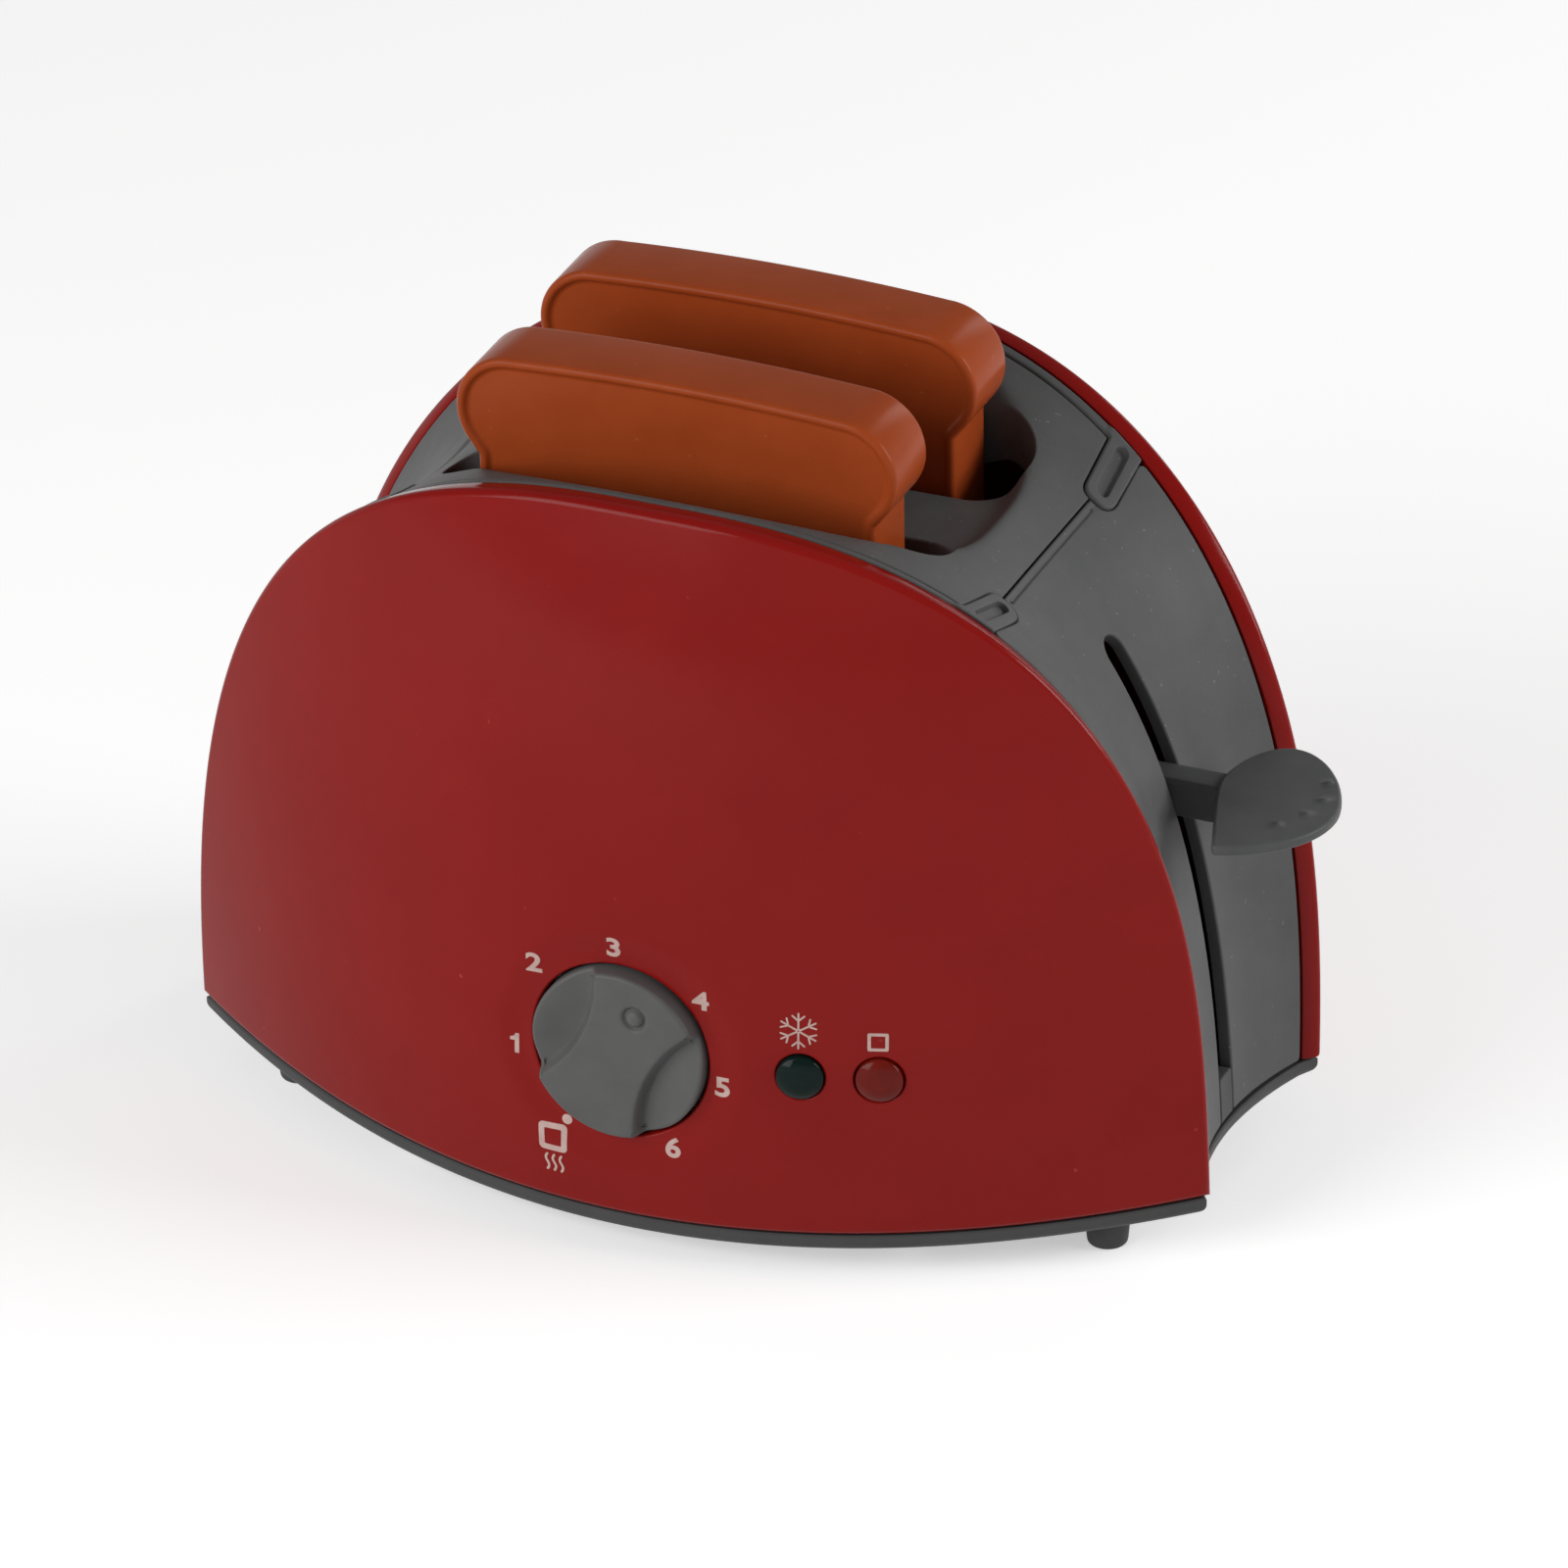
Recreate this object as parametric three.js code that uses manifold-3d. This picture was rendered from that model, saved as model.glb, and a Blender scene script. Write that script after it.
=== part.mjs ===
import * as THREE from 'three';
import * as BufferGeometryUtils from 'three/addons/utils/BufferGeometryUtils.js';
import Module from 'manifold-3d';

// Toy toaster. Millimetres, +Z up, dial on the -Y side, lever on the +X side.

// Covers: two arched shells, curved both along and up the face
const coverLength = 190;
const coverHeight = 128.3;
const coverLift = 7.5;
const faceHalfDepth = 60.8;
const facePlanRadius = 128;
const faceSideRadius = 357;
const faceWidestHeight = 24;
const archWidthExponent = 2.365;
const archHeightExponent = 2.873;
const edgeRise = 5;
const coverWall = 2.2;
const rimReturn = 3.9;
const rimLeanShare = 1.45;
const rimFillet = 1.2;

// Middle body between the covers
const skinWall = 2.2;
const footSag = 4.6;
const crownSag = 3.2;
const bellySag = 2.9;
const bellyExponent = 1.5;
const seamReach = 58.8;
const seamGap = 0.7;
const railWidth = 2.1;
const fit = 0.3;
const bandWall = 2;
const barWidth = 4.8;
const overrun = 1;

// Clip tabs at the four corners of the slot deck
const tabWidth = 6.9;
const tabLength = 14.3;
const tabLean = 2.9;
const tabCorner = 2.4;
const tabPocketInset = 1.8;
const tabPocketWidth = 2.4;
const tabPocketLength = 11;
const tabPocketDepth = 1.2;
const tabRise = 0.3;

// Slot deck
const bowlHalfLength = 53;
const bowlDepth = 17.3;
const bowlTopHalfLength = 58;
const bowlMargin = 2;
const bowlExponent = 3;
const bowlFillet = 2;
const slotPitchShare = 0.825;
const slotMargin = 0.2;
const slotWidth = 18.6;
const slotHalfLength = 46.5;
const slotShift = -2;

// Lever slot in the right end wall
const leverSlotWidth = 5.7;
const leverRise = 23.5;
const tongueHeight = 13.5;

// Base tray
const trayInset = 0.6;
const trayGap = 0.4;
const trayRimHeight = 3.2;
const trayWall = 2.2;
const trayFloor = 2.2;
const trayRounding = 2;

// Feet
const footEndInset = 19;
const footSideInset = 11.3;
const footTopRadius = 4.2;
const footTipRadius = 3.5;
const footRounding = 0.9;
const footStemRadius = 2.4;
const footStemLength = 3.6;

// Toast slices
const toastThickness = 14;
const toastShift = -3.2;
const toastStand = 13.2;
const toastLobeRadius = 10.3;
const toastLobeReach = 30.2;
const toastNeckReach = 36.4;
const toastBeadWidth = 2;
const toastBeadDepth = 0.8;
const toastEdge = 0.8;
const toastFootCorner = 4;

// Bread carriage
const seatTop = 58;
const seatPlate = 2;
const seatLip = 1.2;
const seatLipHeight = 3;
const seatClearance = 0.4;
const seatReach = 43;
const uprightWall = 2.5;
const hubLength = 12;
const hubRise = 1.4;
const springWindow = 11;
const uprightWindowWidth = 12;
const uprightWindowHeight = 20;
const catchHeight = 85;
const catchDepth = 3;
const catchThickness = 3;

// Guide rod and lift spring
const rodX = 48.5;
const rodRadius = 2;
const rodFit = 0.25;
const hubRadius = 4.2;
const rodBossRadius = 3.6;
const rodBossDrop = 6;
const trayBossHeight = 11;
const liftWire = 0.9;
const liftRadius = 3.1;
const liftTurns = 9;

// Lever and its paddle
const stemWidth = 4.2;
const stemHeight = 7.6;
const stemMiddle = 74.7;
const stemFlange = 1.2;
const stemInner = 54;
const paddleInnerX = 86.5;
const paddleOuterX = 109.3;
const paddleOuterY = -5.4;
const paddleTipX = 93.6;
const paddleTipY = -23.3;
const paddleBackX = 94.8;
const paddleBackY = 14.1;
const paddleTop = 79.2;
const paddleWall = 2;
const paddleEdge = 0.5;
const armWall = 2.6;
const armLength = 10;

// Dial and timer
const dialX = 0.4;
const dialZ = 39.5;
const dialRadius = 15.8;
const dialProud = 1.5;
const dialThickness = 8;
const dialFit = 0.5;
const dialEdge = 1.2;
const gripRadius = 25.6;
const gripHalfWidth = 6.2;
const gripDepth = 2.2;
const pointerAngle = 26;
const pointerReach = 9.1;
const pointerRadius = 1.85;
const pointerDepth = 0.5;
const shaftRadius = 2.5;
const shaftSeat = 4.5;
const timerWidth = 42;
const timerHeight = 34;
const camRoom = 1.9;
const timerGap = 0.5;
const timerCorner = 3;
const timerLugRadius = 4.5;
const timerLugWall = 2.5;
const camRadius = 12;
const camWall = 2.5;
const camNotch = 3;

// Buttons
const buttonRowX = 39;
const buttonPitch = 13.5;
const buttonRadius = 4.5;
const buttonFit = 0.4;
const buttonProud = 1.7;
const buttonDome = 0.7;
const flangeRadius = 5.8;
const flangeWall = 1.6;
const flangeGap = 1.8;
const plungerRadius = 1.8;
const buttonSpringWire = 0.5;
const buttonSpringGap = 4.4;
const buttonSpringTurns = 3;
const stopPlungerReach = 3;
const holderWall = 2.5;
const holderWidth = 26;
const holderHeight = 26;
const holderScrewReach = 9.5;

// Latch
const latchX = 58;
const latchRoom = 7.9;
const latchWall = 3;
const latchHubRadius = 4;
const latchPinRadius = 1.5;
const latchPostRadius = 3.8;
const latchArmWidth = 3.2;
const latchPadX = 41;
const latchNoseX = 48.2;
const latchNoseWidth = 3;

// Screws
const screwRadius = 1.4;
const screwHeadRadius = 2.8;
const screwHead = 1.8;
const bossRadius = 3.6;
const bossFit = 0.2;
const coverScrewInset = 31;
const coverScrewDrop = 47.8;
const coverScrewLowInset = 29;
const coverScrewLowZ = 24;
const lugWall = 2.4;
const baseScrewX = 46;
const lipGap = 1.5;
const baseBossHeight = 9;

// Facet counts
const archSteps = 34;
const edgeSteps = 10;
const roundSides = 24;
const smallSides = 8;
const curlSteps = 8;
const wireSides = 5;
const deckSteps = 6;
const fineSteps = 400;
const facetTolerance = 0.03;
const arcSteps = 5;

const gloss = { color: 0x8c1a1c, roughness: 0.12, metalness: 0 };
const grey = { color: 0x595b5c, roughness: 0.5, metalness: 0 };
const darkGrey = { color: 0x3c3e40, roughness: 0.55, metalness: 0 };
const brown = { color: 0x8a3c1c, roughness: 0.35, metalness: 0 };
const green = { color: 0x14312c, roughness: 0.2, metalness: 0 };
const clearRed = { color: 0x6b1512, roughness: 0.15, metalness: 0 };
const steel = { color: 0xb4b6b8, roughness: 0.3, metalness: 1 };
const rubber = { color: 0x3f4142, roughness: 0.8, metalness: 0 };
const white = { color: 0xd8d6cf, roughness: 0.5, metalness: 0 };

const wasm = await Module();
wasm.setup();

const clamp = (value, low, high) => Math.min(Math.max(value, low), high);
const mix = (a, b, share) => a + (b - a) * share;
const radians = THREE.MathUtils.degToRad;

// Solids

function solidFrom(geometry) {
  const bare = geometry.clone();
  bare.deleteAttribute('normal');
  bare.deleteAttribute('uv');
  const merged = BufferGeometryUtils.mergeVertices(bare);
  const vertProperties = new Float32Array(merged.attributes.position.array);
  const triVerts = new Uint32Array(merged.index.array);
  const solid = new wasm.Manifold(new wasm.Mesh({ numProp: 3, vertProperties, triVerts }));
  return solid;
}

function geometryFrom(solid) {
  const mesh = solid.simplify(facetTolerance).getMesh();
  const geometry = new THREE.BufferGeometry();
  geometry.setAttribute('position', new THREE.BufferAttribute(new Float32Array(mesh.vertProperties), 3));
  geometry.setIndex(new THREE.BufferAttribute(new Uint32Array(mesh.triVerts), 1));
  geometry.computeVertexNormals();
  return geometry;
}

// A closed triangle mesh whose faces are turned outward
function closedGeometry(points, triangles) {
  let volume = 0;
  for (const [a, b, c] of triangles) {
    const cross = new THREE.Vector3().crossVectors(points[b], points[c]);
    volume += points[a].dot(cross);
  }
  const outward = volume > 0 ? triangles : triangles.map(([a, b, c]) => [a, c, b]);
  const geometry = new THREE.BufferGeometry();
  geometry.setAttribute('position', new THREE.Float32BufferAttribute(points.flatMap((p) => p.toArray()), 3));
  geometry.setIndex(outward.flat());
  geometry.computeVertexNormals();
  return geometry;
}

// A skin over closed rings of equal count, with a fan to a pole at each end
function ringBody(rings, firstPole, lastPole) {
  const points = [firstPole, ...rings.flat(), lastPole];
  const count = rings[0].length;
  const last = points.length - 1;
  const triangles = [];
  for (let i = 0; i < count; i += 1) {
    const j = (i + 1) % count;
    triangles.push([0, 1 + i, 1 + j]);
    for (let r = 0; r + 1 < rings.length; r += 1) {
      const near = 1 + r * count;
      const far = near + count;
      triangles.push([near + i, far + i, far + j], [near + i, far + j, near + j]);
    }
    const end = 1 + (rings.length - 1) * count;
    triangles.push([end + i, last, end + j]);
  }
  return closedGeometry(points, triangles);
}

// A box with even divisions whose corners go through a mapping of three shares
function bentBox(stepsA, stepsB, stepsC, place) {
  const box = new THREE.BoxGeometry(1, 1, 1, stepsA, stepsB, stepsC);
  return bend(box.translate(1 / 2, 1 / 2, 1 / 2), place);
}

// Any closed geometry with its vertices moved by a mapping
function bend(geometry, place) {
  const bare = geometry.clone();
  bare.deleteAttribute('normal');
  bare.deleteAttribute('uv');
  const merged = BufferGeometryUtils.mergeVertices(bare);
  const source = merged.attributes.position;
  const points = [];
  for (let i = 0; i < source.count; i += 1) {
    points.push(place(source.getX(i), source.getY(i), source.getZ(i)));
  }
  const triangles = [];
  for (let i = 0; i < merged.index.count; i += 3) {
    triangles.push([merged.index.getX(i), merged.index.getX(i + 1), merged.index.getX(i + 2)]);
  }
  return closedGeometry(points, triangles);
}

function box(x0, x1, y0, y1, z0, z1) {
  const geometry = new THREE.BoxGeometry(x1 - x0, y1 - y0, z1 - z0);
  return solidFrom(geometry.translate((x0 + x1) / 2, (y0 + y1) / 2, (z0 + z1) / 2));
}

function post(x, y, z0, z1, radius, topRadius = radius, sides = smallSides) {
  const geometry = new THREE.CylinderGeometry(topRadius, radius, z1 - z0, sides);
  return solidFrom(geometry.rotateX(Math.PI / 2).translate(x, y, (z0 + z1) / 2));
}

// A cylinder along Y
function rodY(x, z, y0, y1, radius, sides = smallSides) {
  const geometry = new THREE.CylinderGeometry(radius, radius, y1 - y0, sides);
  return solidFrom(geometry.translate(x, (y0 + y1) / 2, z));
}

// A flat outline in the XZ plane, thickened from y0 to y1
function plateY(shape, y0, y1, edge = 0) {
  const options = { depth: y1 - y0 - 2 * edge, bevelEnabled: edge > 0, steps: 1, curveSegments: arcSteps };
  options.bevelThickness = edge;
  options.bevelSize = edge;
  options.bevelOffset = -edge;
  options.bevelSegments = 1;
  const geometry = new THREE.ExtrudeGeometry(shape, options);
  return solidFrom(geometry.translate(0, 0, edge).rotateX(Math.PI / 2).translate(0, y1, 0));
}

// A flat outline in the XY plane, thickened from z0 to z1
function plateZ(shape, z0, z1, edge = 0) {
  const options = { depth: z1 - z0 - 2 * edge, bevelEnabled: edge > 0, steps: 1, curveSegments: arcSteps };
  options.bevelThickness = edge;
  options.bevelSize = edge;
  options.bevelOffset = -edge;
  options.bevelSegments = 1;
  const geometry = new THREE.ExtrudeGeometry(shape, options);
  return solidFrom(geometry.translate(0, 0, z0 + edge));
}

function stadium(cx, cy, halfLength, halfWidth) {
  const shape = new THREE.Shape();
  shape.absarc(cx + halfLength - halfWidth, cy, halfWidth, -Math.PI / 2, Math.PI / 2);
  shape.absarc(cx - halfLength + halfWidth, cy, halfWidth, Math.PI / 2, Math.PI * 3 / 2);
  return shape;
}

function roundedBox(cx, cy, width, height, corner) {
  const shape = new THREE.Shape();
  const x = width / 2 - corner;
  const y = height / 2 - corner;
  shape.absarc(cx + x, cy - y, corner, -Math.PI / 2, 0);
  shape.absarc(cx + x, cy + y, corner, 0, Math.PI / 2);
  shape.absarc(cx - x, cy + y, corner, Math.PI / 2, Math.PI);
  shape.absarc(cx - x, cy - y, corner, Math.PI, Math.PI * 3 / 2);
  return shape;
}

const joined = (first, ...others) => others.reduce((sum, other) => sum.add(other), first);
const cut = (first, ...others) => others.reduce((rest, other) => rest.subtract(other), first);

function middleOf(ring) {
  const sum = ring.reduce((total, p) => total.add(p), new THREE.Vector3());
  return sum.divideScalar(ring.length);
}

// A wire helix along +Z from the origin, its two ends square to the wire
function coil(radius, wire, turns, height) {
  const rings = [];
  const steps = turns * curlSteps;
  for (let i = 0; i <= steps; i += 1) {
    const angle = 2 * Math.PI * i / curlSteps;
    const rise = wire / 2 + (height - wire) * i / steps;
    const outward = new THREE.Vector3(Math.cos(angle), Math.sin(angle), 0);
    const centre = outward.clone().multiplyScalar(radius).setZ(rise);
    const ring = [];
    for (let k = 0; k < wireSides; k += 1) {
      const turn = 2 * Math.PI * k / wireSides;
      const offset = outward.clone().multiplyScalar(Math.cos(turn) * wire / 2);
      ring.push(centre.clone().add(offset.setZ(Math.sin(turn) * wire / 2)));
    }
    rings.push(ring);
  }
  return ringBody(rings, middleOf(rings[0]), middleOf(rings[rings.length - 1]));
}

// Shape of the body

const halfLength = coverLength / 2;
const edgeHeight = (x) => coverLift + edgeRise * (x / halfLength) ** 2;
const crownHeight = coverLift + coverHeight;
const crownHalf = faceDepth(0, crownHeight) - rimReturn;
const slotPitch = crownHalf * slotPitchShare;
const bowlFloorHeight = crownHeight - bowlDepth;
const bowlTopHeight = crownHeight + overrun;
const bowlHalfWidth = (slotPitch + slotWidth) / 2 + slotMargin;
const bowlTopHalfWidth = crownHalf - bowlMargin;
const slotSpots = [-slotPitch / 2, slotPitch / 2];
const uprightHalf = slotPitch / 2 + toastThickness / 2 + seatClearance + seatLip;
const latchY = -uprightHalf - latchRoom;
const toastCrown = crownHeight + toastStand;
const hubFoot = stemMiddle + hubRise;
const uprightTop = hubFoot + hubLength;
const stemFoot = stemMiddle - stemHeight / 2;
const stemTop = stemMiddle + stemHeight / 2;
const leverSlotTop = stemTop + leverRise;
const leverSlotFoot = coverLift + tongueHeight;
const footReachX = halfLength - footEndInset;
const footReachY = faceDepth(footReachX, edgeHeight(footReachX)) - trayInset - footSideInset;
const coverScrewX = halfLength - coverScrewInset;
const coverScrewZ = crownHeight - coverScrewDrop;
const coverScrewLowX = halfLength - coverScrewLowInset;

// Depth of the red face from the middle plane
function faceDepth(x, z) {
  const up = z - coverLift - faceWidestHeight;
  const along = x * x / (2 * facePlanRadius);
  return faceHalfDepth - along - (up * up - faceWidestHeight * faceWidestHeight) / (2 * faceSideRadius);
}

// Fine points of the arch from the left foot over the crown to the right foot
const archTable = [];
{
  const start = Math.asin((edgeRise / coverHeight) ** (archHeightExponent / 2));
  for (let i = 0; i <= fineSteps; i += 1) {
    const angle = mix(Math.PI - start, start, i / fineSteps);
    const across = Math.cos(angle);
    const x = halfLength * Math.sign(across) * Math.abs(across) ** (2 / archWidthExponent);
    const z = coverLift + coverHeight * Math.sin(angle) ** (2 / archHeightExponent);
    const before = archTable[i - 1];
    const length = before ? before.length + Math.hypot(x - before.x, z - before.z) : 0;
    archTable.push({ x, z, length });
  }
}
const archLength = archTable[fineSteps].length;

function archSpot(share) {
  const length = clamp(share, 0, 1) * archLength;
  let i = 1;
  while (i < fineSteps && archTable[i].length < length) i += 1;
  const a = archTable[i - 1];
  const b = archTable[i];
  const part = (length - a.length) / (b.length - a.length);
  return { x: mix(a.x, b.x, part), z: mix(a.z, b.z, part) };
}

// A point of the arch with its outward direction
function archPoint(share) {
  const spot = archSpot(share);
  const step = 1 / archSteps / 2;
  const a = archSpot(share - step);
  const b = archSpot(share + step);
  const run = Math.hypot(b.x - a.x, b.z - a.z);
  return { x: spot.x, z: spot.z, nx: (a.z - b.z) / run, nz: (b.x - a.x) / run };
}

function shareAtX(x) {
  const i = archTable.findIndex((spot) => spot.x >= x);
  return archTable[i].length / archLength;
}

// The turned-in rim leans towards the middle with the face's own normal
function rimShift(x) {
  const lean = x / facePlanRadius * rimLeanShare;
  const run = Math.hypot(1, lean);
  return { dx: rimReturn * lean / run, dy: rimReturn / run };
}

// Half width of the middle body at a share of the arch
function bodyHalf(share) {
  const spot = archPoint(share);
  return faceDepth(spot.x, spot.z) - rimShift(spot.x).dy;
}

// A point of the hollowed middle body: share along the arch, y across, depth below the skin
function bodyPoint(share, y, depth) {
  const spot = archPoint(share);
  const half = bodyHalf(share);
  const rise = clamp((spot.z - coverLift) / coverHeight, 0, 1);
  const belly = rise ** bellyExponent;
  const middleSag = mix(footSag, crownSag, rise * rise) + bellySag * 4 * belly * (1 - belly);
  const sag = middleSag * Math.max(0, 1 - (y / half) ** 2);
  const x = spot.x - rimShift(spot.x).dx - spot.nx * (sag + depth);
  return new THREE.Vector3(x, y, spot.z - spot.nz * (sag + depth));
}

// A bent slab of the middle body between two shares and two depths
function bodySlab(share0, share1, steps, low, high, acrossSteps, depth0, depth1) {
  return bentBox(steps, acrossSteps, 1, (a, b, c) => {
    const share = mix(share0, share1, a);
    return bodyPoint(share, mix(low(share), high(share), b), mix(depth0, depth1, c));
  });
}

// A flat outline, in arch length and y, laid on the middle body
function bodyPlate(shape, depth0, depth1) {
  const options = { depth: 1, bevelEnabled: false, steps: 1, curveSegments: 4 };
  const flat = new THREE.ExtrudeGeometry(shape, options);
  return bend(flat, (s, y, c) => bodyPoint(s / archLength, y, mix(depth0, depth1, c)));
}

// Covers

// Corner directions of a closed outline in the XZ plane, pointing out
function outlineNormals(outline) {
  return outline.map((p, i) => {
    const a = outline[(i + outline.length - 1) % outline.length];
    const b = outline[(i + 1) % outline.length];
    const before = new THREE.Vector2(-(p.y - a.y), p.x - a.x).normalize();
    const after = new THREE.Vector2(-(b.y - p.y), b.x - p.x).normalize();
    const sum = before.clone().add(after).normalize();
    return sum.divideScalar(Math.max(sum.dot(after), 1 / 2));
  });
}

const inset = (outline, distance) => {
  const normals = outlineNormals(outline);
  return outline.map((p, i) => p.clone().addScaledVector(normals[i], -distance));
};

// The cover's outline, clockwise seen from the front: over the arch, back along the lower edge
const coverOutline = [];
for (let i = 0; i <= archSteps; i += 1) {
  const spot = archSpot(i / archSteps);
  coverOutline.push(new THREE.Vector2(spot.x, spot.z));
}
for (let i = 1; i < edgeSteps; i += 1) {
  const x = mix(halfLength, -halfLength, i / edgeSteps);
  coverOutline.push(new THREE.Vector2(x, edgeHeight(x)));
}

const polePlace = new THREE.Vector2(0, coverLift + coverHeight * 2 / 5);
const outerShares = [0.2, 0.4, 0.58, 0.74, 0.88];
const innerShares = [0.9, 0.65, 0.35];

function coverShell(side) {
  const at = (p, depth) => new THREE.Vector3(p.x, side * depth, p.y);
  const onFace = (p, below) => at(p, faceDepth(p.x, p.y) - below);
  const scaled = (outline, share) => outline.map((p) => polePlace.clone().lerp(p, share));
  const leaned = coverOutline.map((p) => new THREE.Vector2(p.x - rimShift(p.x).dx, p.y));
  const rimDepth = (p) => faceDepth(p.x, p.y) - rimShift(p.x).dy;
  const rimEnd = (p, i) => at(p, rimDepth(coverOutline[i]));
  const edge = inset(coverOutline, rimFillet);
  const shoulder = inset(coverOutline, rimFillet / 3);
  const inside = inset(coverOutline, coverWall);
  const rings = outerShares.map((share) => scaled(edge, share).map((p) => onFace(p, 0)));
  rings.push(edge.map((p) => onFace(p, 0)));
  rings.push(shoulder.map((p) => onFace(p, rimFillet / 3)));
  rings.push(coverOutline.map((p) => onFace(p, rimFillet)));
  rings.push(leaned.map(rimEnd));
  rings.push(inset(leaned, coverWall).map(rimEnd));
  rings.push(inside.map((p) => onFace(p, coverWall)));
  for (const share of innerShares) {
    rings.push(scaled(inside, share).map((p) => onFace(p, coverWall)));
  }
  return solidFrom(ringBody(rings, onFace(polePlace, 0), onFace(polePlace, coverWall)));
}

// All that lies behind the middle of a cover's wall, to trim what stands on its inner side
function coverInside(side) {
  const inside = inset(coverOutline, coverWall / 2);
  const onFace = (p) => new THREE.Vector3(p.x, side * (faceDepth(p.x, p.y) - coverWall / 2), p.y);
  const onPlane = (p) => new THREE.Vector3(p.x, 0, p.y);
  const scaled = (share) => inside.map((p) => polePlace.clone().lerp(p, share));
  const rings = [...outerShares, 1].map((share) => scaled(share).map(onFace));
  rings.push(inside.map(onPlane));
  return solidFrom(ringBody(rings, onFace(polePlace), onPlane(polePlace)));
}

// A boss on the inner face of a cover at x, z, ending at a given depth from the middle plane
function coverBoss(side, x, z, depth, radius) {
  const y0 = side > 0 ? depth : -faceHalfDepth;
  const y1 = side > 0 ? faceHalfDepth : -depth;
  return rodY(x, z, y0, y1, radius);
}

const lugDepth = bodyHalf(shareAtX(coverScrewX)) - lugWall;
const lowLugDepth = faceDepth(coverScrewLowX, coverScrewLowZ) - coverWall - bossRadius * 2;
const coverScrewSpots = [
  { name: 'upper_left', x: -coverScrewX, z: coverScrewZ, depth: lugDepth },
  { name: 'upper_right', x: coverScrewX, z: coverScrewZ, depth: lugDepth },
  { name: 'lower_left', x: -coverScrewLowX, z: coverScrewLowZ, depth: lowLugDepth },
  { name: 'lower_right', x: coverScrewLowX, z: coverScrewLowZ, depth: lowLugDepth },
];

function sideScrew(side, spot) {
  const seat = spot.depth - fit / 2;
  const head = [seat - screwHead, seat];
  const shank = [seat - overrun / 2, seat + lugWall + fit + screwHead * 2];
  const span = (pair) => (side > 0 ? pair : [-pair[1], -pair[0]]);
  const stem = rodY(spot.x, spot.z, ...span(shank), screwRadius);
  return stem.add(rodY(spot.x, spot.z, ...span(head), screwHeadRadius));
}

const screwHole = (side, spot, deep) => {
  const y0 = spot.depth - overrun;
  const y1 = spot.depth + lugWall + deep + fit * 2;
  const radius = screwRadius + bossFit;
  return side > 0 ? rodY(spot.x, spot.z, y0, y1, radius) : rodY(spot.x, spot.z, -y1, -y0, radius);
};

// Dial and button places on the front face
const dialFaceY = -(faceDepth(dialX, dialZ) + dialProud);
const dialBackY = dialFaceY + dialThickness;
const timerFrontY = dialBackY + timerGap;
const timerBackY = -uprightHalf - catchDepth - camWall - camRoom;
const timerLugs = [
  { name: 'left', x: dialX - timerWidth / 3, z: dialZ + timerHeight / 2 + timerLugRadius },
  { name: 'right', x: dialX + timerWidth / 3, z: dialZ + timerHeight / 2 + timerLugRadius },
  { name: 'lower', x: dialX, z: dialZ - timerHeight / 2 - timerLugRadius },
];

const buttonTilt = Math.asin(buttonRowX / facePlanRadius);
const buttonPlace = new THREE.Matrix4()
  .makeTranslation(buttonRowX, -faceDepth(buttonRowX, dialZ), dialZ)
  .multiply(new THREE.Matrix4().makeRotationZ(buttonTilt));
const buttonSpots = [-buttonPitch / 2, buttonPitch / 2];
const turned = (solid, matrix) => solid.transform(matrix.elements);

const flangeFront = coverWall + flangeGap;
const flangeBack = flangeFront + flangeWall;
const holderFront = flangeBack + buttonSpringGap;
const holderBack = holderFront + holderWall;
const holderScrews = [-holderScrewReach, holderScrewReach];

function frontCover() {
  const bosses = coverScrewSpots.map((spot) =>
    coverBoss(-1, spot.x, spot.z, spot.depth + lugWall + fit, bossRadius));
  for (const spot of timerLugs) {
    bosses.push(coverBoss(-1, spot.x, spot.z, -timerFrontY + fit, bossRadius));
  }
  for (const z of holderScrews) {
    bosses.push(turned(rodY(0, z, -coverWall, holderFront - fit, bossRadius), buttonPlace));
  }
  let shell = coverShell(-1).add(joined(...bosses).intersect(coverInside(-1)));
  const dialHole = rodY(dialX, dialZ, dialFaceY - overrun, dialBackY, dialRadius + dialFit, roundSides);
  shell = shell.subtract(dialHole);
  for (const x of buttonSpots) {
    const hole = rodY(x, 0, -coverWall, coverWall * 2, buttonRadius + buttonFit, roundSides);
    shell = shell.subtract(turned(hole, buttonPlace));
  }
  for (const spot of coverScrewSpots) {
    shell = shell.subtract(screwHole(-1, spot, screwHead * 2));
  }
  for (const spot of timerLugs) {
    const depth = Math.min(faceDepth(spot.x, spot.z) - coverWall, -timerFrontY + screwHead * 2);
    shell = shell.subtract(rodY(spot.x, spot.z, -depth, timerFrontY, screwRadius + bossFit));
  }
  for (const z of holderScrews) {
    const hole = rodY(0, z, coverWall, holderFront, screwRadius + bossFit);
    shell = shell.subtract(turned(hole, buttonPlace));
  }
  return shell;
}

function rearCover() {
  const bosses = coverScrewSpots.map((spot) =>
    coverBoss(1, spot.x, spot.z, spot.depth + lugWall + fit, bossRadius));
  let shell = coverShell(1).add(joined(...bosses).intersect(coverInside(1)));
  for (const spot of coverScrewSpots) {
    shell = shell.subtract(screwHole(1, spot, screwHead * 2));
  }
  return shell;
}

// Frames: an inner band under each rim, a bar along its foot, a rail and two clip tabs

const seamShare = shareAtX(seamReach);
const tabShares = [1 - seamShare, seamShare];
const bandTop = skinWall + fit * 3;

// How far a tab's middle line lies from its place on the arch, at a share of its length from its root
const leanAt = (share, part) => (share > 1 / 2 ? tabLean : -tabLean) * (part - 1 / 2);

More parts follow.
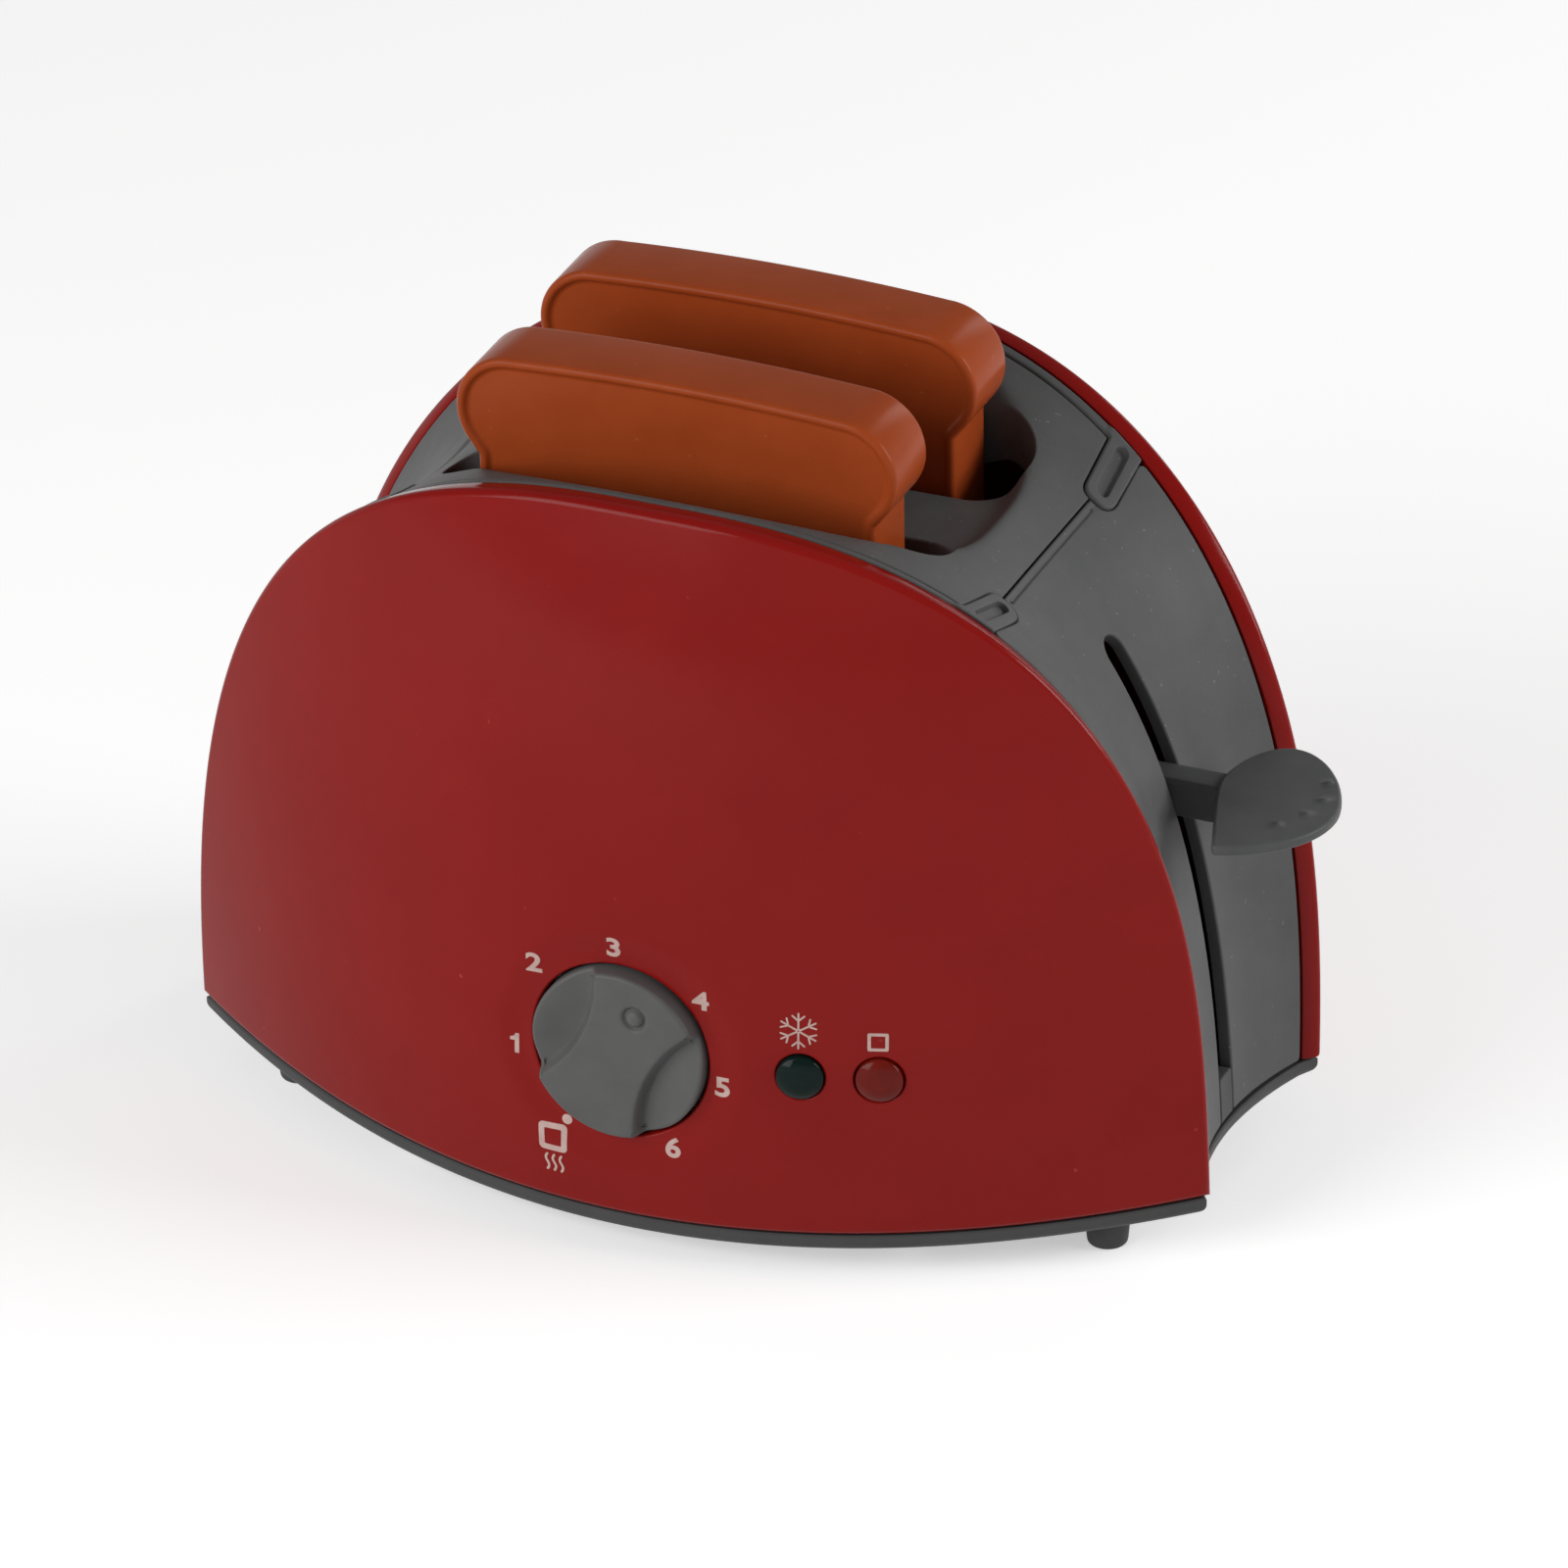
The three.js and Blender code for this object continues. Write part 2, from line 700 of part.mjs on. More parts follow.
function tabShape(share, side, grow) {
  const half = bodyHalf(share);
  const reach = half - tabLength - grow;
  const width = tabWidth / 2 + grow;
  const corner = tabCorner + grow;
  const root = (place) => bodyHalf(place / archLength) - fit + grow * 2;
  const start = share * archLength + leanAt(share, 0);
  const end = share * archLength + leanAt(share, 1);
  const shape = new THREE.Shape();
  shape.moveTo(start + width, side * root(start + width));
  shape.lineTo(start - width, side * root(start - width));
  shape.lineTo(end - width, side * (reach + corner));
  shape.quadraticCurveTo(end - width, side * reach, end - width + corner, side * reach);
  shape.lineTo(end + width - corner, side * reach);
  shape.quadraticCurveTo(end + width, side * reach, end + width, side * (reach + corner));
  return shape;
}

function tabPocket(share, side) {
  const low = bodyHalf(share) - tabLength + tabPocketInset;
  const high = low + tabPocketLength;
  const lowPart = 1 - tabPocketInset / tabLength;
  const start = share * archLength + leanAt(share, lowPart - tabPocketLength / tabLength);
  const end = share * archLength + leanAt(share, lowPart);
  const width = tabPocketWidth / 2;
  const shape = new THREE.Shape();
  shape.moveTo(end - width, side * low);
  shape.lineTo(end + width, side * low);
  shape.lineTo(start + width, side * high);
  shape.lineTo(start - width, side * high);
  return shape;
}

// Places that a slab takes across the body, mirrored by the side
const across = (side, low, high) => (side > 0 ? [low, high] : [(s) => -high(s), (s) => -low(s)]);

// Stations along the arch that match the covers', clear of their lower edge
const footShare = (coverWall + fit * 2) / archLength;
const stations = [footShare];
for (let i = 1; i < archSteps; i += 1) stations.push(i / archSteps);
stations.push(1 - footShare);

// The frame's section at one place: a band under the rim, with a rail up to the deck's surface
function frameSection(share, side, isRailed) {
  const spot = archPoint(share);
  const x = spot.x - rimShift(spot.x).dx - spot.nx * bandTop;
  const outer = faceDepth(x, spot.z - spot.nz * bandTop) - coverWall - fit * 4;
  const inner = bodyHalf(share) - railWidth;
  const step = bodyHalf(share) - fit * 2;
  const low = bandTop + bandWall;
  const rise = isRailed ? fit / 2 : bandTop;
  return [
    bodyPoint(share, side * inner, low),
    bodyPoint(share, side * outer, low),
    bodyPoint(share, side * outer, bandTop),
    bodyPoint(share, side * (isRailed ? step : mix(inner, outer, 2 / 3)), bandTop),
    bodyPoint(share, side * (isRailed ? step : mix(inner, outer, 1 / 3)), rise),
    bodyPoint(share, side * inner, rise),
  ];
}

function frame(side) {
  const nearby = fit / archLength;
  const isRailed = (share) => share > tabShares[0] && share < tabShares[1];
  const edges = tabShares.flatMap((share) => [share - nearby, share + nearby]);
  const places = stations.filter((share) => edges.every((edge) => Math.abs(edge - share) > nearby));
  const shares = [...places, ...edges].sort((a, b) => a - b);
  const rings = shares.map((share) => frameSection(share, side, isRailed(share)));
  const capOf = (ring) => ring[0].clone().add(ring[2]).divideScalar(2);
  let solid = solidFrom(ringBody(rings, capOf(rings[0]), middleOf(rings[rings.length - 1])));
  for (const share of tabShares) {
    solid = solid.add(solidFrom(bodyPlate(tabShape(share, side, 0), -tabRise, skinWall)));
    solid = solid.subtract(solidFrom(bodyPlate(tabPocket(share, side), -overrun, tabPocketDepth)));
  }
  const reach = archSpot(1).x - rimReturn - coverWall;
  const barFoot = (x) => edgeHeight(x) + coverWall + fit * 2;
  const barTop = (x) => barFoot(x) + bandWall;
  const bar = bentBox(edgeSteps, 1, 1, (a, b, c) => {
    const x = mix(-reach, reach, a);
    const outer = faceDepth(x, barTop(x)) - coverWall - fit * 2;
    return new THREE.Vector3(x, side * mix(outer - barWidth, outer, b), mix(barFoot(x), barTop(x), c));
  });
  solid = solid.add(solidFrom(bar));
  for (const spot of coverScrewSpots) {
    solid = solid.add(frameLug(side, spot));
  }
  for (const x of [-baseScrewX, baseScrewX]) {
    const y = side * baseScrewY(x);
    const boreTop = barTop(x) + baseBossHeight / 2;
    solid = solid.add(post(x, y, barFoot(x), barTop(x) + baseBossHeight, bossRadius));
    solid = solid.subtract(post(x, y, barFoot(x) - overrun, boreTop, screwRadius + bossFit));
  }
  for (const spot of coverScrewSpots) {
    solid = solid.subtract(screwHole(side, spot, overrun));
  }
  return solid;
}

// Distance from the middle plane to the base screws, on the frame's foot bar
function baseScrewY(x) {
  return faceDepth(x, edgeHeight(x)) - rimReturn - bossRadius - lipGap;
}

// A lug for a cover screw, with a web to the nearest part of the frame
function frameLug(side, spot) {
  const pair = [spot.depth, spot.depth + lugWall];
  const [y0, y1] = side > 0 ? pair : [-pair[1], -pair[0]];
  const disc = rodY(spot.x, spot.z, y0, y1, bossRadius + overrun);
  const out = Math.sign(spot.x);
  const isHigh = spot.z > coverHeight / 2;
  const web = new THREE.Shape();
  if (isHigh) {
    const share = out > 0 ? 1 - highLugShare : highLugShare;
    const spotOnArch = archPoint(share);
    const deep = bandTop + bandWall;
    const end = new THREE.Vector2(
      spotOnArch.x - rimShift(spotOnArch.x).dx - spotOnArch.nx * deep, spotOnArch.z - spotOnArch.nz * deep);
    const start = new THREE.Vector2(spot.x, spot.z);
    const along = end.clone().sub(start).normalize();
    const normal = new THREE.Vector2(-along.y, along.x).multiplyScalar(bossRadius / 2);
    web.setFromPoints([
      start.clone().sub(normal), end.clone().sub(normal),
      end.clone().add(normal), start.clone().add(normal)]);
  } else {
    const foot = edgeHeight(spot.x) + coverWall + fit * 2 + bandWall / 2;
    web.setFromPoints([
      new THREE.Vector2(spot.x - bossRadius, foot), new THREE.Vector2(spot.x + bossRadius, foot),
      new THREE.Vector2(spot.x + bossRadius, spot.z), new THREE.Vector2(spot.x - bossRadius, spot.z)]);
  }
  return disc.add(plateY(web, y0, y1));
}

const highLugShare = 1 - shareAtX(coverScrewX + seamReach / 4);

// Slot deck

const superRing = (halfX, halfY, z, exponent, count) => {
  const ring = [];
  for (let i = 0; i < count; i += 1) {
    const angle = 2 * Math.PI * i / count;
    const x = halfX * Math.sign(Math.cos(angle)) * Math.abs(Math.cos(angle)) ** (2 / exponent);
    const y = halfY * Math.sign(Math.sin(angle)) * Math.abs(Math.sin(angle)) ** (2 / exponent);
    ring.push(new THREE.Vector3(x, y, z));
  }
  return ring;
};

function bowl(grow) {
  const floor = bowlFloorHeight - grow;
  const count = archSteps;
  const ring = (x, y, z) => superRing(x + grow, y + grow, z, bowlExponent, count);
  const over = bowlTopHeight + (bowlTopHeight - bowlFloorHeight) / 2;
  const rings = [
    ring(bowlHalfLength - bowlFillet, bowlHalfWidth - bowlFillet, floor),
    ring(bowlHalfLength, bowlHalfWidth, floor + bowlFillet),
    ring(bowlTopHalfLength, bowlTopHalfWidth, bowlTopHeight),
    ring(mix(bowlHalfLength, bowlTopHalfLength, 3 / 2), mix(bowlHalfWidth, bowlTopHalfWidth, 3 / 2), over),
  ];
  return solidFrom(ringBody(rings, new THREE.Vector3(0, 0, floor), new THREE.Vector3(0, 0, over)));
}

const deckHalf = (share) => bodyHalf(share) - railWidth - seamGap;
const seamShift = seamGap / 2 / archLength;
const tabCuts = () => [-1, 1].flatMap((side) => tabShares.map((share) =>
  solidFrom(bodyPlate(tabShape(share, side, seamGap), -overrun, bandTop + overrun))));
const rodBossTop = bowlFloorHeight - skinWall / 2;
const rodBossFoot = rodBossTop - rodBossDrop;

function slotDeck() {
  const range = [tabShares[0] + seamShift, tabShares[1] - seamShift];
  const low = (share) => -deckHalf(share);
  const skin = solidFrom(bodySlab(...range, archSteps / 2, low, deckHalf, deckSteps, 0, skinWall));
  const room = solidFrom(bodySlab(...range, archSteps / 2, low, deckHalf, deckSteps, 0, coverHeight / 4));
  let deck = skin.add(room.intersect(bowl(skinWall))).subtract(bowl(0));
  deck = deck.add(post(rodX, 0, rodBossFoot, rodBossTop, rodBossRadius));
  deck = deck.subtract(post(rodX, 0, rodBossFoot - overrun, rodBossTop - skinWall / 2, rodRadius + rodFit));
  for (const y of slotSpots) {
    const slot = stadium(slotShift, y, slotHalfLength, slotWidth / 2);
    deck = deck.subtract(plateZ(slot, bowlFloorHeight / 2, coverHeight * 2));
  }
  return cut(deck, ...tabCuts());
}

// End walls

function endWall(right) {
  const share = right ? tabShares[1] : 1 - tabShares[1];
  const shift = right ? seamShift : -seamShift;
  const end = right ? 1 : 0;
  const wallHalf = (s) => bodyHalf(s) - fit;
  const low = (s) => -wallHalf(s);
  const skin = solidFrom(bodySlab(share + shift, end, archSteps / 4, low, wallHalf, deckSteps, 0, skinWall));
  const shelfDepth = 4 * seamGap;
  const shelfShare = shelfDepth / archLength;
  const shelfHalf = (s) => bodyHalf(s) - tabLength - seamGap * 2;
  const shelfLow = (s) => -shelfHalf(s);
  const turn = right ? -1 : 1;
  const inner = share + turn * shelfShare;
  const outer = share - turn * shelfShare;
  const shelf = solidFrom(bodySlab(
    inner, outer, 2, shelfLow, shelfHalf, deckSteps, bandTop, bandTop + bandWall));
  const neck = solidFrom(bodySlab(
    share + shift * 3, outer, 2, shelfLow, shelfHalf, deckSteps, skinWall / 2, bandTop + bandWall / 2));
  const clear = post(rodX, 0, rodBossFoot - overrun, bowlFloorHeight, rodBossRadius + fit * 2);
  return cut(joined(skin, shelf.subtract(bowl(skinWall + fit)), neck), clear, ...tabCuts());
}

function rightEndWall() {
  const slot = new THREE.Shape();
  const radius = leverSlotWidth / 2;
  slot.moveTo(-radius, 0);
  slot.lineTo(radius, 0);
  slot.lineTo(radius, leverSlotTop - radius);
  slot.absarc(0, leverSlotTop - radius, radius, 0, Math.PI);
  const options = { depth: coverLength / 2, bevelEnabled: false, curveSegments: arcSteps };
  const geometry = new THREE.ExtrudeGeometry(slot, options);
  geometry.rotateX(Math.PI / 2).rotateZ(Math.PI / 2).translate(seamReach / 2, 0, 0);
  return endWall(true).subtract(solidFrom(geometry));
}

// Base tray

// Plan of the tray, counterclockwise: front edge, hollow right end, rear edge, hollow left end
const trayPlan = [];
{
  const endHalf = bodyHalf(1);
  const edgeX = archSpot(1).x - overrun;
  const outer = (x) => faceDepth(x, edgeHeight(x)) - trayInset;
  const endX = (y) => bodyPoint(1, y, 0).x;
  const endSteps = 8;
  for (const side of [-1, 1]) {
    for (let i = 0; i <= edgeSteps; i += 1) {
      const x = side * mix(edgeX, -edgeX, i / edgeSteps);
      trayPlan.push(new THREE.Vector2(x, side * outer(x)));
    }
    for (let i = 0; i <= endSteps; i += 1) {
      const y = mix(endHalf, -endHalf, i / endSteps) * side;
      trayPlan.push(new THREE.Vector2(-side * endX(y), y));
    }
  }
}

const trayTop = (x) => edgeHeight(x) - trayGap;
const trayFoot = (x) => trayTop(x) - trayRimHeight;
const trayFloorTop = (x) => trayFoot(x) + trayFloor;

function baseTray() {
  // The plan runs counterclockwise, so its outward side is the other way round
  const pulled = (distance) => inset(trayPlan, -distance);
  const raise = (outline, height) => outline.map((p) => new THREE.Vector3(p.x, p.y, height(p.x)));
  const scaled = (outline, share) => outline.map((p) => p.clone().multiplyScalar(share));
  const innerPlan = pulled(trayWall);
  const footPlan = pulled(trayRounding);
  const rings = [
    raise(scaled(footPlan, 1 / 2), trayFoot),
    raise(footPlan, trayFoot),
    raise(pulled(trayRounding / 4), (x) => trayFoot(x) + trayRounding / 4),
    raise(trayPlan, (x) => trayFoot(x) + trayRounding),
    raise(trayPlan, trayTop),
    raise(innerPlan, trayTop),
    raise(innerPlan, trayFloorTop),
    raise(scaled(innerPlan, 1 / 2), trayFloorTop),
  ];
  const poles = [new THREE.Vector3(0, 0, trayFoot(0)), new THREE.Vector3(0, 0, trayFloorTop(0))];
  let tray = solidFrom(ringBody(rings, ...poles));
  const sunk = trayFloor / 2;
  tray = tray.add(post(rodX, 0, trayFloorTop(rodX) - sunk, trayBossHeight, rodBossRadius));
  tray = tray.subtract(post(rodX, 0, trayFloorTop(rodX), trayBossHeight + overrun, rodRadius + rodFit));
  tray = tray.add(post(latchX, latchY, trayFloorTop(latchX) - sunk, latchFoot - fit, latchPostRadius));
  tray = tray.subtract(post(latchX, latchY, latchFoot - latchWall * 2, latchFoot, latchPinRadius + bossFit));
  const tongueHalf = leverSlotWidth / 2 - fit;
  const wallX = bodyPoint(1, 0, 0).x;
  const backX = wallX - skinWall - fit;
  const backHalf = leverSlotWidth;
  const tongueAt = (x0, x1, half, foot) => box(x0, x1, -half, half, foot, leverSlotFoot);
  tray = tray.add(tongueAt(wallX - skinWall, wallX - fit / 2, tongueHalf, trayFloorTop(wallX)));
  tray = tray.add(tongueAt(backX - skinWall, backX, backHalf, trayFloorTop(backX) - sunk));
  tray = tray.add(tongueAt(backX - fit, wallX - skinWall + fit, tongueHalf, trayFloorTop(backX)));
  for (const x of [-footReachX, footReachX]) {
    for (const y of [-footReachY, footReachY]) {
      tray = tray.subtract(post(x, y, trayFoot(0) - overrun, coverLift * 2, footStemRadius + bossFit));
    }
  }
  for (const x of [-baseScrewX, baseScrewX]) {
    for (const side of [-1, 1]) {
      const y = side * baseScrewY(x);
      tray = tray.add(post(x, y, trayFloorTop(x) - sunk, edgeHeight(x) + coverWall, bossRadius - bossFit));
      tray = tray.subtract(post(x, y, 0, trayFoot(x) + trayFloor / 2, screwHeadRadius + bossFit));
      tray = tray.subtract(post(x, y, 0, coverLift * 2, screwRadius + bossFit));
    }
  }
  return tray;
}

// Feet: tapered plugs whose stems push through the tray floor
function foot(x, y) {
  const top = trayFoot(Math.abs(x) - footTopRadius) - fit / 2;
  const profile = [
    new THREE.Vector2(0, 0),
    new THREE.Vector2(footTipRadius - footRounding, 0),
    new THREE.Vector2(footTipRadius, footRounding),
    new THREE.Vector2(footTopRadius, top),
    new THREE.Vector2(footStemRadius, top),
    new THREE.Vector2(footStemRadius, top + footStemLength),
    new THREE.Vector2(0, top + footStemLength),
  ];
  const turnedFoot = new THREE.LatheGeometry(profile, roundSides / 2).rotateX(Math.PI / 2);
  return solidFrom(turnedFoot).translate([x, y, 0]);
}

function baseScrew(x, side) {
  const y = side * baseScrewY(x);
  const seat = trayFoot(x) + trayFloor / 2;
  const head = post(x, y, seat - fit - screwHead / 2, seat - fit / 2, screwHeadRadius);
  return head.add(post(x, y, seat - fit, seat + baseBossHeight / 2 + coverWall, screwRadius));
}

// Toast

function toastOutline() {
  const crown = toastCrown - toastLobeRadius;
  const lobeZ = crown - toastEdge * 2;
  const foot = seatTop + fit;
  const shape = new THREE.Shape();
  const right = toastShift + toastNeckReach;
  const left = toastShift - toastNeckReach;
  const lobeRight = toastShift + toastLobeReach;
  const lobeLeft = toastShift - toastLobeReach;
  // The lobe meets the neck where its circle passes the neck's side
  const drop = Math.sqrt(Math.max(toastLobeRadius ** 2 - (toastNeckReach - toastLobeReach) ** 2, 0));
  const angle = Math.atan2(-drop, toastNeckReach - toastLobeReach);
  shape.moveTo(right, foot + toastFootCorner);
  shape.lineTo(right, lobeZ - drop);
  shape.absarc(lobeRight, lobeZ, toastLobeRadius, angle, Math.PI / 2);
  shape.quadraticCurveTo(toastShift, toastCrown + toastEdge, lobeLeft, lobeZ + toastLobeRadius);
  shape.absarc(lobeLeft, lobeZ, toastLobeRadius, Math.PI / 2, Math.PI - angle);
  shape.lineTo(left, lobeZ - drop);
  shape.lineTo(left, foot + toastFootCorner);
  shape.quadraticCurveTo(left, foot, left + toastFootCorner, foot);
  shape.lineTo(right - toastFootCorner, foot);
  shape.quadraticCurveTo(right, foot, right, foot + toastFootCorner);
  return shape;
}

function toast(y) {
  const shape = toastOutline();
  const half = toastThickness / 2;
  const body = plateY(shape, y - half, y + half, toastEdge);
  const points = shape.getPoints(arcSteps);
  const tidy = points.filter((p, i) => p.distanceTo(points[(i + 1) % points.length]) > fit);
  const closed = THREE.ShapeUtils.isClockWise(tidy) ? tidy : tidy.reverse();
  const face = new THREE.Shape(inset(closed, toastBeadWidth));
  const front = plateY(face, y - half - overrun, y - half + toastBeadDepth);
  const rear = plateY(face, y + half - toastBeadDepth, y + half + overrun);
  return cut(body, front, rear);
}

// Bread carriage: two seats, an upright across the slots' ends, a hub and an arm

const uprightX = seatReach + uprightWall / 2;
const armSide = stemWidth / 2 + fit;

function breadCarriage() {
  const seatFoot = seatTop - seatPlate;
  const left = -seatReach - fit;
  let solid = box(uprightX, uprightX + uprightWall, -uprightHalf, uprightHalf, seatFoot, uprightTop);
  for (const y of slotSpots) {
    const inner = toastThickness / 2 + seatClearance;
    const outer = inner + seatLip;
    solid = solid.add(box(left, uprightX + overrun, y - outer, y + outer, seatFoot, seatTop));
    for (const side of [-1, 1]) {
      const y0 = side > 0 ? y + inner : y - outer;
      solid = solid.add(box(left, uprightX + overrun, y0, y0 + seatLip, seatFoot, seatTop + seatLipHeight));
    }
    const middle = (seatTop + uprightTop) / 2;
    const window = [middle - uprightWindowHeight / 2, middle + uprightWindowHeight / 2];
    const width = uprightWindowWidth / 2;
    solid = solid.subtract(box(uprightX - overrun, rodX, y - width, y + width, ...window));
  }
  const windowHalf = springWindow / 2;
  solid = solid.subtract(box(uprightX - overrun, rodX, -windowHalf, windowHalf, seatTop / 2, hubFoot));
  solid = solid.add(post(rodX, 0, hubFoot, uprightTop, hubRadius, hubRadius, roundSides / 2));
  const armRange = [-armSide - armWall, -armSide];
  const armRoot = box(rodX, stemInner + overrun, ...armRange, hubFoot, stemTop);
  const arm = box(stemInner, stemInner + armLength, ...armRange, stemFoot, stemTop);
  solid = joined(solid, armRoot, arm);
  const catchHalf = catchThickness / 2;
  solid = solid.add(box(uprightX, uprightX + uprightWall, -uprightHalf - catchDepth, -uprightHalf + overrun,
    catchHeight - catchHalf, catchHeight + catchHalf));
  solid = solid.subtract(post(rodX, 0, seatTop, uprightTop + overrun, rodRadius + rodFit));
  return solid.subtract(leverScrewHole(-armSide - armWall - overrun, -armSide + overrun));
}

const leverScrewX = stemInner + armLength / 2;
const leverScrewHole = (y0, y1) => rodY(leverScrewX, stemMiddle, y0, y1, screwRadius + bossFit);

function leverScrew() {
  const headY = -armSide - armWall - fit / 2;
  const head = rodY(leverScrewX, stemMiddle, headY - screwHead, headY, screwHeadRadius);
  return head.add(rodY(leverScrewX, stemMiddle, headY - fit, stemWidth / 2 - fit, screwRadius));
}

// Lever: a flanged stem through the slot with a leaf shaped paddle
function lever() {
  const web = box(stemInner, paddleTipX, -stemWidth / 2, stemWidth / 2, stemFoot, stemTop);
  const flangeHalf = leverSlotWidth / 2 - fit;
  const flangeX = stemInner + armLength + overrun;
  const flange = box(flangeX, paddleTipX, -flangeHalf, flangeHalf, stemTop - stemFlange, stemTop);
  const leaf = new THREE.Shape();
  leaf.moveTo(paddleTipX, paddleTipY);
  leaf.bezierCurveTo(
    mix(paddleTipX, paddleOuterX, 4 / 9), mix(paddleTipY, paddleOuterY, 1 / 10),
    paddleOuterX, mix(paddleOuterY, paddleTipY, 4 / 7), paddleOuterX, paddleOuterY);
  leaf.bezierCurveTo(
    paddleOuterX, mix(paddleOuterY, paddleBackY, 1 / 3),
    mix(paddleBackX, paddleOuterX, 1 / 2), paddleBackY, paddleBackX, paddleBackY);
  leaf.bezierCurveTo(
    mix(paddleBackX, paddleInnerX, 4 / 7), paddleBackY, paddleInnerX, paddleBackY / 2, paddleInnerX, 0);
  leaf.bezierCurveTo(
    paddleInnerX, paddleTipY / 5,
    mix(paddleInnerX, paddleTipX, 2 / 3), paddleTipY * 2 / 3, paddleTipX, paddleTipY);
  const paddle = plateZ(leaf, paddleTop - paddleWall, paddleTop, paddleEdge);
  return cut(joined(web, flange, paddle), leverScrewHole(-stemWidth, stemWidth / 2 - fit / 2));
}

// Dial

function dialKnob() {
  const profile = [
    new THREE.Vector2(0, 0),
    new THREE.Vector2(dialRadius, 0),
    new THREE.Vector2(dialRadius, dialThickness - dialEdge),
    new THREE.Vector2(dialRadius - dialEdge / 3, dialThickness - dialEdge / 3),
    new THREE.Vector2(dialRadius - dialEdge, dialThickness),
    new THREE.Vector2(0, dialThickness),
  ];
  const disc = solidFrom(new THREE.LatheGeometry(profile, roundSides * 2).rotateX(Math.PI));
  let knob = disc.translate([dialX, dialBackY, dialZ]);
  const turn = radians(pointerAngle);
  for (const side of [-1, 1]) {
    const reach = side * (gripHalfWidth + gripRadius);
    const x = dialX + reach * Math.cos(turn);
    const z = dialZ - reach * Math.sin(turn);
    knob = knob.subtract(rodY(x, z, dialFaceY - overrun, dialFaceY + gripDepth, gripRadius, roundSides * 2));
  }
  const pointerX = dialX + pointerReach * Math.sin(turn);
  const pointerZ = dialZ + pointerReach * Math.cos(turn);
  const mark = rodY(pointerX, pointerZ, dialFaceY - overrun, dialFaceY + pointerDepth, pointerRadius);
  const bore = rodY(dialX, dialZ, dialBackY - shaftSeat, dialBackY + overrun, shaftRadius + bossFit);
  return cut(knob, mark, bore);
}

const camFrontY = timerBackY + fit;

function timerShaft() {
  const front = dialBackY - shaftSeat + fit;
  return rodY(dialX, dialZ, front, camFrontY + camWall + fit, shaftRadius);
}

function timerCase() {
  const outline = roundedBox(dialX, dialZ, timerWidth, timerHeight, timerCorner);
  const lugBackY = timerFrontY + timerLugWall;
  let solid = plateY(outline, timerFrontY, timerBackY);
  for (const spot of timerLugs) {
    const up = Math.sign(spot.z - dialZ);
    const lug = rodY(spot.x, spot.z, timerFrontY, lugBackY, timerLugRadius);
    const root = spot.z - up * timerLugRadius * 2;
    const web = box(spot.x - timerLugRadius, spot.x + timerLugRadius, timerFrontY, lugBackY,
      Math.min(root, spot.z), Math.max(root, spot.z));
    solid = joined(solid, lug, web);
  }
  for (const spot of timerLugs) {
    solid = solid.subtract(rodY(
      spot.x, spot.z, timerFrontY - overrun, lugBackY + overrun, screwRadius + bossFit));
  }
  const bore = rodY(dialX, dialZ, timerFrontY - overrun, timerBackY + overrun, shaftRadius + rodFit);
  return solid.subtract(bore);
}

function timerScrew(spot) {
  const seat = timerFrontY + timerLugWall + fit / 2;
  const tip = Math.max(timerFrontY - screwHead, -(faceDepth(spot.x, spot.z) - coverWall) + fit);
  const shank = rodY(spot.x, spot.z, tip, seat + fit, screwRadius);
  return shank.add(rodY(spot.x, spot.z, seat, seat + screwHead, screwHeadRadius));
}

function timerCam() {
  const disc = rodY(dialX, dialZ, camFrontY, camFrontY + camWall, camRadius, roundSides);
  const range = [camFrontY - overrun, camFrontY + camWall + overrun];
  const notch = box(dialX - camNotch / 2, dialX + camNotch / 2, ...range,
    dialZ - camRadius - overrun, dialZ - camRadius + camNotch);
  return cut(disc, notch, rodY(dialX, dialZ, ...range, shaftRadius + bossFit));
}

// Buttons, in the turned frame of the button row: -Y points out of the face

function button(x, plungerEnd) {
  const profile = [
    new THREE.Vector2(0, -plungerEnd),
    new THREE.Vector2(plungerRadius, -plungerEnd),
    new THREE.Vector2(plungerRadius, -flangeBack),
    new THREE.Vector2(flangeRadius, -flangeBack),
    new THREE.Vector2(flangeRadius, -flangeFront),
    new THREE.Vector2(buttonRadius, -flangeFront),
    new THREE.Vector2(buttonRadius, buttonProud - buttonDome),
    new THREE.Vector2(buttonRadius * 3 / 4, buttonProud - buttonDome / 3),
    new THREE.Vector2(0, buttonProud),
  ];
  return solidFrom(new THREE.LatheGeometry(profile, roundSides).rotateX(Math.PI)).translate([x, 0, 0]);
}

function buttonSpring(x) {
  const radius = plungerRadius + fit + buttonSpringWire / 2;
  const length = buttonSpringGap - fit;
  const wire = coil(radius, buttonSpringWire, buttonSpringTurns, length);
  return solidFrom(wire.rotateX(-Math.PI / 2).translate(x, flangeBack + fit / 2, 0));
}

function buttonHolder() {
  let plate = plateY(roundedBox(0, 0, holderWidth, holderHeight, timerCorner), holderFront, holderBack);
  for (const x of buttonSpots) {
    plate = plate.subtract(rodY(x, 0, holderFront - overrun, holderBack + overrun, plungerRadius + fit));
  }
  for (const z of holderScrews) {
    plate = plate.subtract(rodY(0, z, holderFront - overrun, holderBack + overrun, screwRadius + bossFit));
  }
  return plate;
}

function holderScrew(z) {
  const shank = rodY(0, z, coverWall + fit * 2, holderBack + fit, screwRadius);
  return shank.add(rodY(0, z, holderBack + fit / 2, holderBack + fit / 2 + screwHead, screwHeadRadius));
}

const plungerEnds = [holderBack - fit, holderBack + stopPlungerReach];
const stopTip = new THREE.Vector3(buttonSpots[1], plungerEnds[1] + fit, 0).applyMatrix4(buttonPlace);

